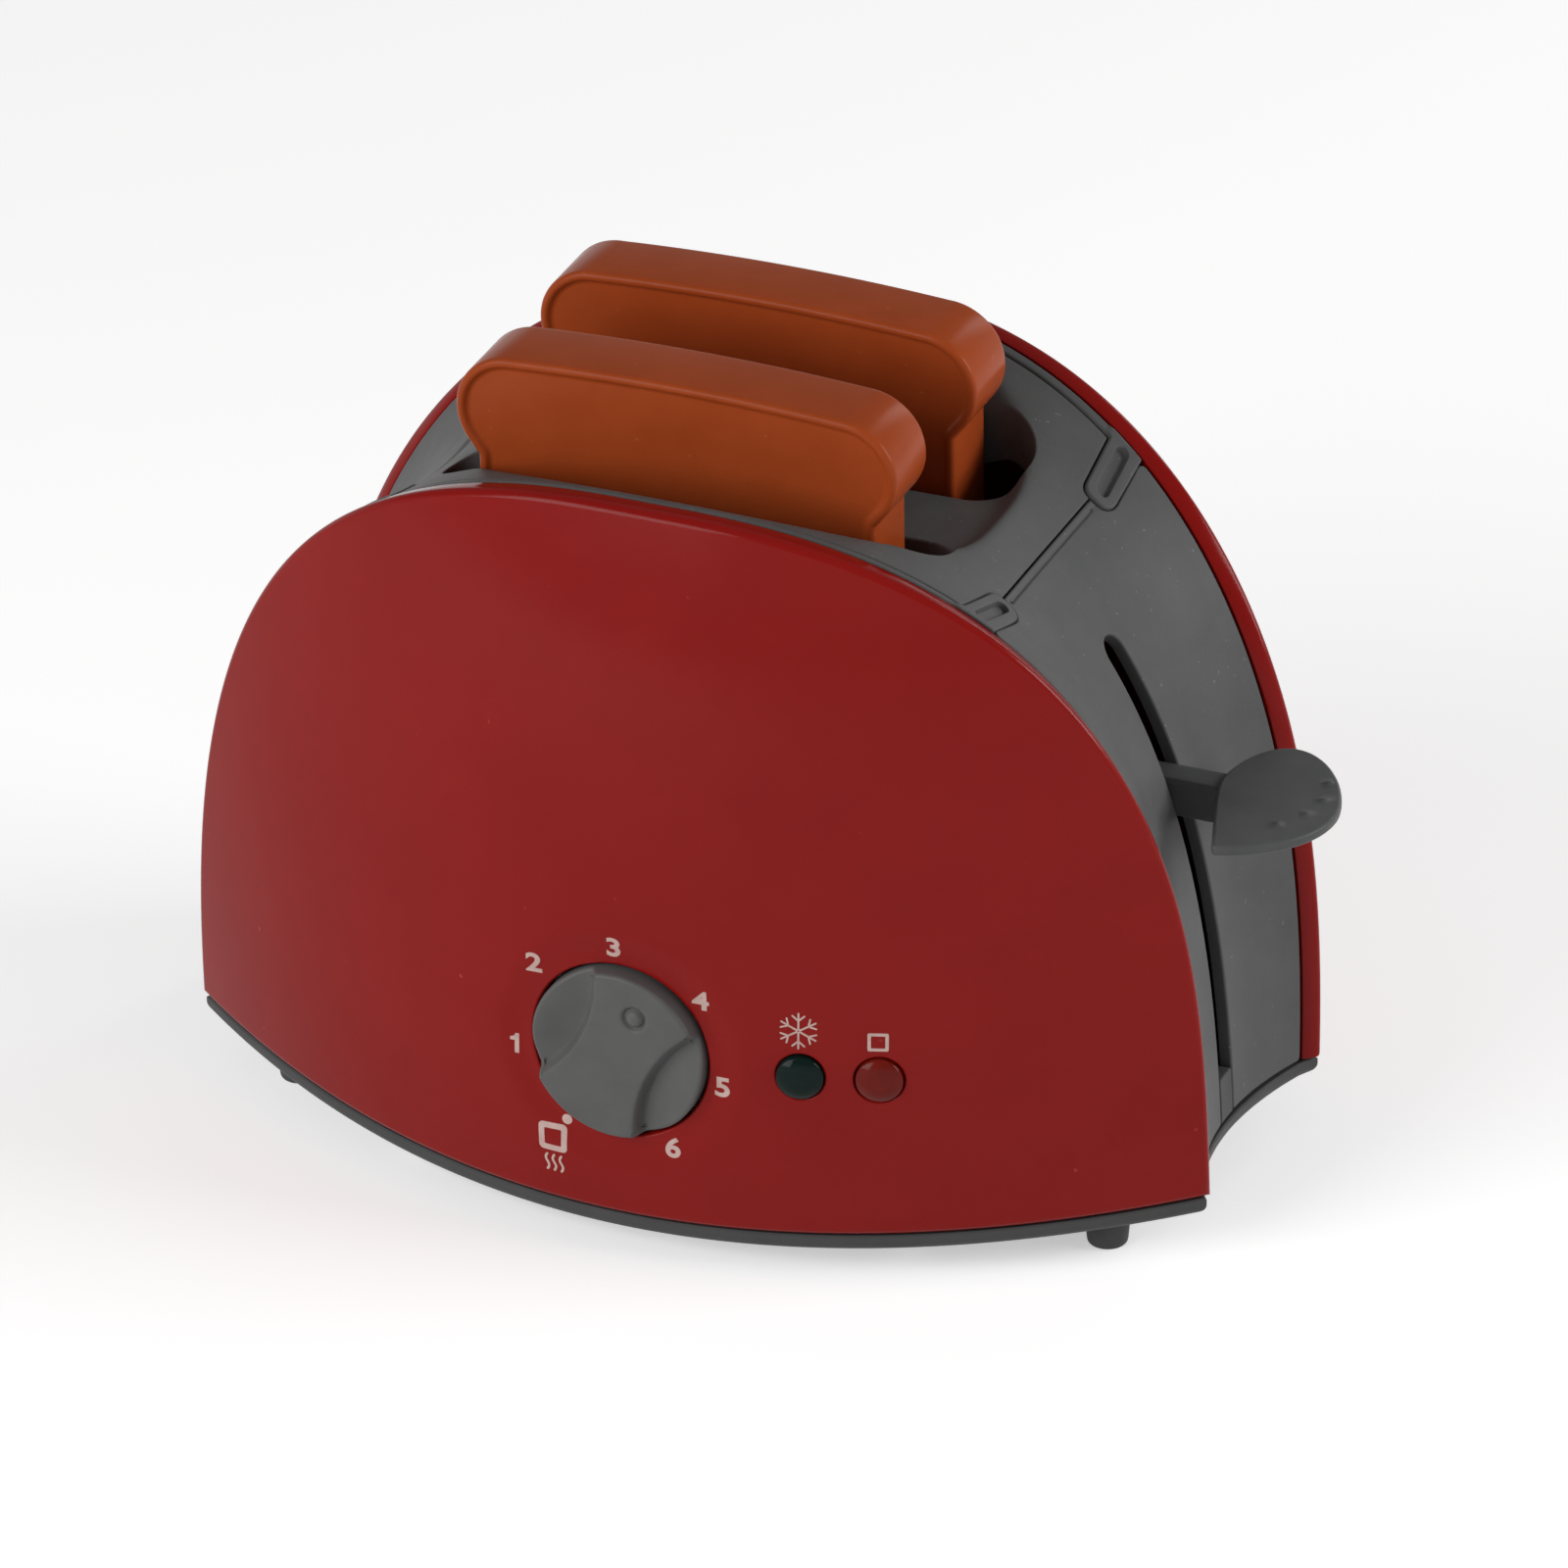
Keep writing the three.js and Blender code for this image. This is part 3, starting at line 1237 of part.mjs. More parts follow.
// Latch: a flat lever on an upright pin, pushed by the stop button

const latchFoot = dialZ - latchWall / 2;

function bar(a, b, width) {
  const along = b.clone().sub(a).normalize();
  const normal = new THREE.Vector2(-along.y, along.x).multiplyScalar(width / 2);
  return new THREE.Shape([
    a.clone().sub(normal), b.clone().sub(normal), b.clone().add(normal), a.clone().add(normal)]);
}

function latchLever() {
  const hub = new THREE.Vector2(latchX, latchY);
  const pad = new THREE.Vector2(latchPadX - latchArmWidth / 2, stopTip.y + latchArmWidth / 2);
  const nose = new THREE.Vector2(latchNoseX, -uprightHalf - latchNoseWidth / 2);
  const top = latchFoot + latchWall;
  const flat = (shape) => plateZ(shape, latchFoot, top);
  const arm = flat(bar(hub, pad, latchArmWidth));
  const hook = flat(bar(hub, nose, latchArmWidth));
  const round = post(latchX, latchY, latchFoot, top, latchHubRadius);
  const bore = post(latchX, latchY, latchFoot - overrun, top + overrun, latchPinRadius + bossFit);
  return cut(joined(round, arm, hook), bore);
}

function latchPin() {
  const foot = latchFoot - latchWall * 2 + fit;
  const top = latchFoot + latchWall + fit;
  const shank = post(latchX, latchY, foot, top + fit, latchPinRadius);
  return shank.add(post(latchX, latchY, top, top + screwHead / 2, latchPinRadius + overrun));
}

function guideRod() {
  return post(rodX, 0, trayFloorTop(rodX) + fit, rodBossTop - skinWall / 2 - fit, rodRadius);
}

function liftSpring() {
  const foot = trayBossHeight + fit;
  const wire = coil(liftRadius, liftWire, liftTurns, hubFoot - fit - foot);
  return solidFrom(wire.translate(rodX, 0, foot));
}

// Assembly

const body = new THREE.Group();
const buttonRow = new THREE.Group();
buttonRow.applyMatrix4(buttonPlace);
body.add(buttonRow);

function addPart(name, solid, look, parent = body) {
  const mesh = new THREE.Mesh(geometryFrom(solid), new THREE.MeshStandardMaterial(look));
  mesh.name = name;
  parent.add(mesh);
}

addPart('base_tray', baseTray(), grey);
for (const [name, x, y] of [
  ['foot_front_left', -footReachX, -footReachY],
  ['foot_front_right', footReachX, -footReachY],
  ['foot_rear_left', -footReachX, footReachY],
  ['foot_rear_right', footReachX, footReachY],
]) {
  addPart(name, foot(x, y), rubber);
}
for (const [side, rowName] of [[-1, 'front'], [1, 'rear']]) {
  for (const [x, endName] of [[-baseScrewX, 'left'], [baseScrewX, 'right']]) {
    addPart(`base_screw_${rowName}_${endName}`, baseScrew(x, side), steel);
  }
}
addPart('front_cover', frontCover(), gloss);
addPart('rear_cover', rearCover(), gloss);
addPart('front_frame', frame(-1), grey);
addPart('rear_frame', frame(1), grey);
for (const [side, rowName] of [[-1, 'front'], [1, 'rear']]) {
  for (const spot of coverScrewSpots) {
    addPart(`${rowName}_cover_screw_${spot.name}`, sideScrew(side, spot), steel);
  }
}
addPart('slot_deck', slotDeck(), grey);
addPart('left_end_wall', endWall(false), grey);
addPart('right_end_wall', rightEndWall(), grey);
addPart('bread_carriage', breadCarriage(), darkGrey);
addPart('guide_rod', guideRod(), steel);
addPart('lift_spring', liftSpring(), steel);
addPart('lever', lever(), grey);
addPart('lever_screw', leverScrew(), steel);
addPart('toast_front', toast(slotSpots[0]), brown);
addPart('toast_rear', toast(slotSpots[1]), brown);
addPart('dial_knob', dialKnob(), grey);
addPart('timer_shaft', timerShaft(), steel);
addPart('timer_case', timerCase(), white);
for (const spot of timerLugs) {
  addPart(`timer_screw_${spot.name}`, timerScrew(spot), steel);
}
addPart('timer_cam', timerCam(), white);
addPart('defrost_button', button(buttonSpots[0], plungerEnds[0]), green, buttonRow);
addPart('stop_button', button(buttonSpots[1], plungerEnds[1]), clearRed, buttonRow);
addPart('defrost_spring', buttonSpring(buttonSpots[0]), steel, buttonRow);
addPart('stop_spring', buttonSpring(buttonSpots[1]), steel, buttonRow);
addPart('button_holder', buttonHolder(), darkGrey, buttonRow);
addPart('holder_screw_lower', holderScrew(holderScrews[0]), steel, buttonRow);
addPart('holder_screw_upper', holderScrew(holderScrews[1]), steel, buttonRow);
addPart('latch_lever', latchLever(), white);
addPart('latch_pin', latchPin(), steel);

// The origin goes to the middle of the footprint, on the ground
body.updateMatrixWorld(true);
const bounds = new THREE.Box3().setFromObject(body);
const centre = bounds.getCenter(new THREE.Vector3());
body.position.set(-centre.x, -centre.y, 0);

const toaster = new THREE.Group();
toaster.name = 'toy_toaster';
toaster.add(body);

export default toaster;
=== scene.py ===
from math import acos, asin, atan2, ceil, cos, pi, radians, sin, sqrt, tan

import bmesh
import bpy
import numpy as np
from mathutils import Matrix, Vector
from mathutils.geometry import delaunay_2d_cdt
from mathutils.kdtree import KDTree
from numpy.linalg import norm


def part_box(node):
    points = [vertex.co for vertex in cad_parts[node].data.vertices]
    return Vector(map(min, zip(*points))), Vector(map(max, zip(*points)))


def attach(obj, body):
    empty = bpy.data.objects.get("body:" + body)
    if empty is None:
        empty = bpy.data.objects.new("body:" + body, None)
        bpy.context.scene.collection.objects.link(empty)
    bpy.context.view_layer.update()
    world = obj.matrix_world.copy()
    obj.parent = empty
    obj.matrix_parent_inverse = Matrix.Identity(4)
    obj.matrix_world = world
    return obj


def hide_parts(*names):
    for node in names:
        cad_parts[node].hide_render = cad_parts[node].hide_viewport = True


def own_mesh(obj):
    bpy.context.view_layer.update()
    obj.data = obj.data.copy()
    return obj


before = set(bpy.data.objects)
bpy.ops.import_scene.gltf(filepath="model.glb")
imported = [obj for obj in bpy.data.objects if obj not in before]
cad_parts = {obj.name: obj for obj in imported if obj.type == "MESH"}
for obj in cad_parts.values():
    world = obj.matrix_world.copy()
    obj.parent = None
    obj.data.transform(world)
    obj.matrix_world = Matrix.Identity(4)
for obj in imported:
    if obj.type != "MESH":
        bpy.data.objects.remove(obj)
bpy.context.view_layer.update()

MM = 0.001

# Covers, in millimetres
COVER_LENGTH = 190
COVER_HEIGHT = 128.3
COVER_LIFT = 7.5
FACE_HALF_DEPTH = 60.8
FACE_PLAN_RADIUS = 128
FACE_SIDE_RADIUS = 357
WIDEST_HEIGHT = 24
ARCH_WIDTH_EXPONENT = 2.365
ARCH_HEIGHT_EXPONENT = 2.873
EDGE_RISE = 5
COVER_WALL = 2.2
RIM_RETURN = 3.9
RIM_LEAN_SHARE = 1.45
RIM_FILLET = 1.2
FOOT_FILLET = 0.4
RING_OUTER = 23.5
RING_INNER = 17.5
RING_DEPTH = 0.8

# Middle body
SKIN_WALL = 2.2
FOOT_SAG = 4.6
CROWN_SAG = 3.2
BELLY_SAG = 2.9
BELLY_EXPONENT = 1.5
SEAM_REACH = 58.8
SEAM_GAP = 0.3
RAIL_WIDTH = 2.1
FIT = 0.3
BAND_DEPTH = 3.1
BAND_WALL = 2.0
EDGE_FILLET = 0.45
RIB_WIDTH = 1.65
GROOVE_WIDTH = 0.32
GROOVE_DEPTH = 0.36

# Clip tabs
TAB_HALF = 3.45
TAB_LENGTH = 14.3
TAB_LEAN = 2.9
TAB_CORNER = 2.4
TAB_RISE = 0.35
TAB_FILLET = 0.5
POCKET_HALF = 1.2
POCKET_START = 1.8
POCKET_LENGTH = 11
POCKET_DEPTH = 1.1
POCKET_SLOPE = 0.45

# Slot deck
BOWL_HALF_LENGTH = 45.5
BOWL_TOP_HALF_LENGTH = 58
BOWL_DEPTH = 17.3
BOWL_MARGIN = 2
BOWL_EXPONENT = 3
BOWL_FLOOR_BLEND = 0.14
BOWL_CREASE = 1.6
SLOT_PITCH_SHARE = 0.825
SLOT_MARGIN = 0.2
SLOT_WIDTH = 18.6
SLOT_HALF_LENGTH = 46.5
SLOT_SHIFT = -2
SLOT_FILLET = 0.5
SLOT_COLLAR = 10
OVERRUN = 1
CORNER_ROOM = 3.2

# Lever slot
LEVER_SLOT_WIDTH = 5.7
LEVER_SLOT_TOP = 102
LEVER_SLOT_FOOT = 21.0

# Base tray and feet
TRAY_INSET = 0.6
TRAY_GAP = 0.4
TRAY_RIM_HEIGHT = 3.2
TRAY_WALL = 2.2
TRAY_FLOOR = 2.2
TRAY_ROUNDING = 2
BASE_SCREW_X = 46
SINK_RADIUS = 3
SINK_DEPTH = 1.1
BASE_HOLE_RADIUS = 1.6
LUG_RADIUS = 3.6
LUG_GAP = 1.5
FOOT_END_INSET = 19
FOOT_REACH_Y = 26.54
FOOT_TOP_RADIUS = 4.2
FOOT_TIP_RADIUS = 3.5
FOOT_ROUNDING = 0.9

# Toast slices
TOAST_THICKNESS = 14
TOAST_SHIFT = -3.2
TOAST_CROWN = 149
TOAST_FOOT = 58.3
LOBE_RADIUS = 10.3
LOBE_REACH = 30.2
LOBE_DROP = 1.6
NECK_REACH = 36.4
NECK_FILLET = 1.2
TOAST_CORNER = 4
TOAST_CROWN_BOW = 0.4
BEAD_WIDTH = 1.7
BEAD_DEPTH = 0.8

# Lever
STEM_WIDTH = 4.2
STEM_FLANGE = 0.45
STEM_FLANGE_DEPTH = 1.2
STEM_HEIGHT = 7.6
STEM_MIDDLE = 74.7
STEM_INNER = 54
PADDLE_INNER_X = 86.5
PADDLE_OUTER_X = 109.3
PADDLE_OUTER_Y = -5.4
PADDLE_TIP = (93.6, -23.3)
PADDLE_BACK = (94.8, 14.1)
PADDLE_TOP = 79.2
PADDLE_WALL = 2.0
BUMP_RADIUS = 0.85
BUMP_RISE = 0.4
BUMP_SPOTS = ((101.5, -12.4), (104.6, -7.1), (105.6, -1.4), (104.2, 4.5))

# Dial
DIAL_X = 0.4
DIAL_Z = 39.5
DIAL_RADIUS = 15.8
DIAL_PROUD = 1.5
DIAL_THICKNESS = 8
DIAL_FIT = 0.5
DIAL_EDGE = 0.8
GRIP_RADIUS = 25.6
GRIP_HALF = 6.2
GRIP_DEPTH = 2.6
GRIP_REACH = 1.7
GRIP_RISE = 1.5
POINTER_ANGLE = 26
POINTER_REACH = 9.1
POINTER_RADIUS = 1.85
POINTER_GROOVE = 0.4
POINTER_DEPTH = 0.6
POINTER_DOME = 0.35

# Buttons, in the turned frame of their row
BUTTON_ROW_X = 39
BUTTON_PITCH = 13.5
BUTTON_RADIUS = 4.1
BUTTON_FIT = 0.2
BUTTON_PROUD = 1.3
BUTTON_DOME = 1.0
BUTTON_EDGE = 0.6
FLANGE_RADIUS = 5.8
FLANGE_FRONT = 4
FLANGE_BACK = 5.6
PLUNGER_RADIUS = 1.8
PLUNGER_ENDS = (12.2, 15.5)

# Springs
LIFT_COIL = (3.1, 0.9, 9)
LIFT_ROD_X = 48.5
BUTTON_COIL = (2.35, 0.5, 3)
COIL_LENGTH = 4.1

# Printed marks
PRINT_RISE = 0.05
PRINT_THICKNESS = 0.06
NUMERAL_HEIGHT = 3.75
NUMERAL_WEIGHT = 0.03
NUMERAL_WIDENING = 1.22

# Camera, fitted to the photograph
CAMERA_AZIMUTH = 23.582
CAMERA_ELEVATION = 28.914
CAMERA_ROLL = -0.896
CAMERA_LENS = 333.45
CAMERA_DISTANCE = 2500
CAMERA_TARGET = (5.36, 0, 61.11)

# Meshing
ARCH_STEPS = 4000
EVEN_STEPS = 1200
SOLVE_ROUNDS = 12
LEAST_SLOPE = 0.3
GRID_CLEARANCE = 0.62
SHARP_ANGLE = 32
NORMAL_MATCH = 0.8
SPECK_EDGE = 0.04

HALF_LENGTH = COVER_LENGTH / 2
CROWN_HEIGHT = COVER_LIFT + COVER_HEIGHT
ROWS = (("front", -1), ("rear", 1))
ENDS = (("left", -1), ("right", 1))
SQUARE = ((-1, -1), (1, -1), (1, 1), (-1, 1))


def mix(a, b, share):
    return a + (b - a) * share


def ease(low, high, value):
    t = np.clip((value - low) / (high - low), 0, 1)
    return t * t * (3 - 2 * t)


def at(*parts):
    """Points from their coordinates, each an array or one number."""
    return np.stack(np.broadcast_arrays(*parts), -1)


def unit(vectors):
    return vectors / norm(vectors, axis=1)[:, None]


def to_left(vectors):
    return at(-vectors[:, 1], vectors[:, 0])


def move(x, y, z):
    return Matrix.Translation((x, y, z))


# Middle of the body in the row frame, from the two covers
front_low, front_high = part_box("front_cover")
rear_low, rear_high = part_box("rear_cover")
ROW_SHIFT = np.array([(front_low[0] + front_high[0]) / 2, (front_low[1] + rear_high[1]) / 2, 0])


def to_row(points):
    return np.asarray(points, float) * MM + ROW_SHIFT


# Body shape

def face_depth(x, z):
    up = z - COVER_LIFT - WIDEST_HEIGHT
    along = x * x / (2 * FACE_PLAN_RADIUS)
    return FACE_HALF_DEPTH - along - (up * up - WIDEST_HEIGHT ** 2) / (2 * FACE_SIDE_RADIUS)


def edge_height(x):
    return COVER_LIFT + EDGE_RISE * (x / HALF_LENGTH) ** 2


arch_start = asin((EDGE_RISE / COVER_HEIGHT) ** (ARCH_HEIGHT_EXPONENT / 2))
arch_angle = np.linspace(pi - arch_start, arch_start, ARCH_STEPS + 1)
arch_cos = np.cos(arch_angle)
ARCH_X = HALF_LENGTH * np.sign(arch_cos) * np.abs(arch_cos) ** (2 / ARCH_WIDTH_EXPONENT)
ARCH_Z = COVER_LIFT + COVER_HEIGHT * np.sin(arch_angle) ** (2 / ARCH_HEIGHT_EXPONENT)
ARCH_S = np.hstack([[0], np.cumsum(np.hypot(np.diff(ARCH_X), np.diff(ARCH_Z)))])
ARCH_LENGTH = ARCH_S[-1]
arch_even = np.linspace(0, ARCH_LENGTH, EVEN_STEPS + 1)
even_x = np.interp(arch_even, ARCH_S, ARCH_X)
even_z = np.interp(arch_even, ARCH_S, ARCH_Z)
slope_x = np.gradient(even_x, arch_even)
slope_z = np.gradient(even_z, arch_even)
slope_run = np.hypot(slope_x, slope_z)


def arch(s):
    x = np.interp(s, ARCH_S, ARCH_X)
    z = np.interp(s, ARCH_S, ARCH_Z)
    nx = -np.interp(s, arch_even, slope_z / slope_run)
    nz = np.interp(s, arch_even, slope_x / slope_run)
    return x, z, nx, nz


def rim_shift(x):
    lean = x / FACE_PLAN_RADIUS * RIM_LEAN_SHARE
    run = np.hypot(1, lean)
    return lean / run, 1 / run


def body_half(s):
    x, z, _, _ = arch(s)
    return face_depth(x, z) - RIM_RETURN * rim_shift(x)[1]


def body_point(s, y, depth):
    x, z, nx, nz = arch(s)
    rise = np.clip((z - COVER_LIFT) / COVER_HEIGHT, 0, 1)
    belly = rise ** BELLY_EXPONENT
    middle_sag = mix(FOOT_SAG, CROWN_SAG, rise * rise) + BELLY_SAG * 4 * belly * (1 - belly)
    below = middle_sag * np.maximum(0, 1 - (y / body_half(s)) ** 2) + depth
    return at(x - RIM_RETURN * rim_shift(x)[0] - nx * below, y, z - nz * below)


SEAM_RIGHT = float(np.interp(SEAM_REACH, ARCH_X, ARCH_S))
SEAM_LEFT = ARCH_LENGTH - SEAM_RIGHT
CROWN_HALF = float(face_depth(0, CROWN_HEIGHT)) - RIM_RETURN
SLOT_PITCH = CROWN_HALF * SLOT_PITCH_SHARE
BOWL_FLOOR = CROWN_HEIGHT - BOWL_DEPTH
BOWL_TOP = CROWN_HEIGHT + OVERRUN
BOWL_HALF_WIDTH = (SLOT_PITCH + SLOT_WIDTH) / 2 + SLOT_MARGIN
BOWL_TOP_HALF_WIDTH = CROWN_HALF - BOWL_MARGIN

# Outlines in the plane, all with the material on their left


def resample(points, step):
    """A closed outline with no side longer than the step."""
    out = []
    for a, b in zip(points, np.roll(points, -1, axis=0)):
        count = max(1, int(ceil(norm(b - a) / step)))
        out += [a + (b - a) * k / count for k in range(count)]
    return np.array(out)


def corner_reach(before, here, after, radius):
    """Directions from a corner to its neighbours, half its angle, and how far off its rounding begins."""
    before, after = before - here, after - here
    before, after = before / norm(before), after / norm(after)
    half = acos(np.clip(before @ after, -1, 1)) / 2
    return before, after, half, radius / tan(half)


def rounded(corners, step):
    """A closed outline from (u, v, radius) corners, each rounded by its radius."""
    points = np.array([c[:2] for c in corners], float)
    out = []
    for i, (_, _, radius) in enumerate(corners):
        here = points[i]
        if radius == 0:
            out.append(here)
            continue
        before, after, half, reach = corner_reach(points[i - 1], here, points[(i + 1) % len(points)], radius)
        centre = here + (before + after) / norm(before + after) * radius / sin(half)
        start, end = here + before * reach - centre, here + after * reach - centre
        turn = atan2(start[0] * end[1] - start[1] * end[0], start @ end)
        count = max(3, ceil(abs(turn) * radius / step))
        for k in range(count + 1):
            c, s = cos(turn * k / count), sin(turn * k / count)
            out.append(centre + np.array([c * start[0] - s * start[1], s * start[0] + c * start[1]]))
    return resample(np.array(out), step)


def circle(cx, cy, radius, count, hole=True):
    turn = np.arange(count) * 2 * pi / count * (-1 if hole else 1)
    return at(cx + radius * np.cos(turn), cy + radius * np.sin(turn))


def offset(loop, distance):
    """The outline moved to its left, corners mitred."""
    before = unit(to_left(loop - np.roll(loop, 1, axis=0)))
    after = unit(to_left(np.roll(loop, -1, axis=0) - loop))
    total = unit(before + after)
    share = np.maximum((total * after).sum(1), 0.5)
    return loop + total / share[:, None] * distance


def inside(points, loops):
    """Even-odd test of points against closed outlines."""
    crossings = np.zeros(len(points), int)
    x, y = points[:, 0], points[:, 1]
    for loop in loops:
        for (ax, ay), (bx, by) in zip(loop, np.roll(loop, -1, axis=0)):
            if ay == by:
                continue
            spans = (ay > y) != (by > y)
            crossings += spans & (x < ax + (y - ay) * (bx - ax) / (by - ay))
    return crossings % 2 == 1


def triangulate(loops, step, creases=()):
    """Points and triangles that fill closed outlines; the outlines' own points come first, in order."""
    rim = np.vstack(loops + list(creases))
    low, high = rim.min(0), rim.max(0)
    row = step * sqrt(3) / 2
    rows = np.arange(low[1] + row / 2, high[1], row)
    grid = np.array([
        (u + (k % 2) * step / 2, v) for k, v in enumerate(rows) for u in np.arange(low[0], high[0], step)])
    grid = grid[inside(grid, loops)] if len(grid) else np.zeros((0, 2))
    tree = KDTree(len(rim))
    for i, p in enumerate(rim):
        tree.insert((p[0], p[1], 0), i)
    tree.balance()
    grid = np.array([p for p in grid if tree.find((p[0], p[1], 0))[2] > step * GRID_CLEARANCE]).reshape(-1, 2)
    points = np.vstack([rim, grid])
    edges, start = [], 0
    for loop in loops + list(creases):
        count = len(loop)
        edges += [(start + k, start + (k + 1) % count) for k in range(count)]
        start += count
    made = delaunay_2d_cdt([Vector(p) for p in points], edges, [], 0, 1e-7)
    source = [o[0] for o in made[3]]
    triangles = np.array([[source[i] for i in face] for face in made[2]])
    kept = inside(points[triangles].mean(1), loops)
    # A triangle at an outline belongs to the sheet when it lies on the outline's left
    outline = set(edges[:sum(len(loop) for loop in loops)])
    for k, (a, b, c) in enumerate(triangles):
        if outline & {(a, b), (b, c), (c, a)}:
            kept[k] = True
        elif outline & {(b, a), (c, b), (a, c)}:
            kept[k] = False
    return points, triangles[kept]


def normals_at(place, u, v, depth):
    """Unit normals of a placed sheet."""
    h = 0.02
    across = place(u + h, v, depth) - place(u - h, v, depth)
    along = place(u, v + h, depth) - place(u, v - h, depth)
    return unit(np.cross(across, along))


class Solid:
    """Vertices in millimetres, faces, and the vertices whose normals are known."""

    def __init__(self):
        self.points = []
        self.faces = []
        self.normals = []

    def add(self, points, normals=None):
        start = len(self.points)
        self.points += [tuple(p) for p in points]
        self.normals += [tuple(n) for n in normals] if normals is not None else [(0, 0, 0)] * len(points)
        return list(range(start, start + len(points)))

    def bridge(self, near, far):
        count = len(near)
        for i in range(count):
            j = (i + 1) % count
            self.faces.append((near[i], near[j], far[j], far[i]))

    def panel(self, rims, place, step, under_step=None, creases=()):
        """A sheet with rounded and thickened rims: each rim is (outline, profile, its own place or None).

        The mesh of its outer side follows the creases."""
        loops = [offset(loop, profile[0][0]) for loop, profile, _ in rims]
        flat, triangles = triangulate(loops, step, creases)
        u, v = flat[:, 0], flat[:, 1]
        top = self.add(place(u, v, 0), normals_at(place, u, v, 0))
        self.faces += [tuple(top[i] for i in face) for face in triangles]
        ends, start = [], 0
        for (loop, profile, rim_place), first in zip(rims, loops):
            near = top[start:start + len(loop)]
            start += len(loop)
            for distance, depth in profile[1:]:
                ring = offset(loop, distance)
                far = self.add((rim_place or place)(ring[:, 0], ring[:, 1], depth))
                self.bridge(near, far)
                near = far
            ends.append((offset(loop, profile[-1][0]), near))
        back, triangles = triangulate([ring for ring, _ in ends], under_step or step * 3)
        known = [i for _, near in ends for i in near]
        depth = rims[0][1][-1][1]
        u, v = back[:, 0], back[:, 1]
        normal = normals_at(place, u, v, depth)
        for i, n in zip(known, normal):
            self.normals[i] = tuple(n)
        ids = known + self.add(place(u, v, depth)[len(known):], normal[len(known):])
        self.faces += [tuple(ids[i] for i in reversed(face)) for face in triangles]
        return self

    def tube(self, sections):
        """Rings of equal count joined along, with flat ends."""
        rings = [self.add(section) for section in sections]
        for near, far in zip(rings, rings[1:]):
            self.bridge(near, far)
        self.faces += [tuple(reversed(rings[0])), tuple(rings[-1])]
        return self


def new_object(name, data):
    """An object in the scene."""
    made = bpy.data.objects.new(name, data)
    bpy.context.scene.collection.objects.link(made)
    return made


def finished(name, solid, look, nodes=(), body="housing", matrix=None):
    """The Blender object of a solid, riding on its body, in place of its CAD nodes. Most are grey plastic."""
    points = np.array(solid.points)
    if matrix is not None:
        turn = np.array(matrix)
        points = points @ turn[:3, :3].T + turn[:3, 3]
    mesh = bpy.data.meshes.new(name)
    mesh.from_pydata(to_row(points).tolist(), [], solid.faces)
    shell = bmesh.new()
    shell.from_mesh(mesh)
    bmesh.ops.recalc_face_normals(shell, faces=shell.faces)
    shell.to_mesh(mesh)
    shell.free()
    mesh.shade_smooth()
    mesh.set_sharp_from_angle(angle=radians(SHARP_ANGLE))
    known = np.array(solid.normals, float)
    if np.abs(known).max() > 0:
        corner = np.empty(len(mesh.loops), int)
        mesh.loops.foreach_get("vertex_index", corner)
        normal = np.empty(len(mesh.polygons) * 3)
        mesh.polygons.foreach_get("normal", normal)
        sizes = np.empty(len(mesh.polygons), int)
        mesh.polygons.foreach_get("loop_total", sizes)
        facing = np.repeat(normal.reshape(-1, 3), sizes, axis=0)
        wanted = known[corner]
        sign = (wanted * facing).sum(1)
        wanted *= np.sign(sign)[:, None]
        wanted[np.abs(sign) < NORMAL_MATCH] = 0
        mesh.normals_split_custom_set(wanted.tolist())
    mesh.materials.append(look)
    piece = new_object(name, mesh)
    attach(piece, body)
    if nodes:
        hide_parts(*nodes)
    return piece


def fillet(radius, steps):
    """Profile of a rounded edge: (inset, depth) from the sheet to the side."""
    turns = [pi / 2 * k / steps for k in range(steps + 1)]
    return [(radius * (1 - sin(t)), radius * (1 - cos(t))) for t in turns]


# Materials

def set_inputs(tree, node, inputs):
    """Each input set to its value, or linked to the output that is given for it."""
    for key, value in inputs.items():
        if isinstance(value, bpy.types.NodeSocket):
            tree.links.new(value, node.inputs[key])
        else:
            node.inputs[key].default_value = value


def add_node(tree, kind, inputs=None, **settings):
    made = tree.nodes.new("ShaderNode" + kind)
    for key, value in settings.items():
        setattr(made, key, value)
    set_inputs(tree, made, inputs or {})
    return made


def new_material(name):
    look = bpy.data.materials.new(name)
    look.use_nodes = True
    return look, look.node_tree, look.node_tree.nodes["Principled BSDF"]


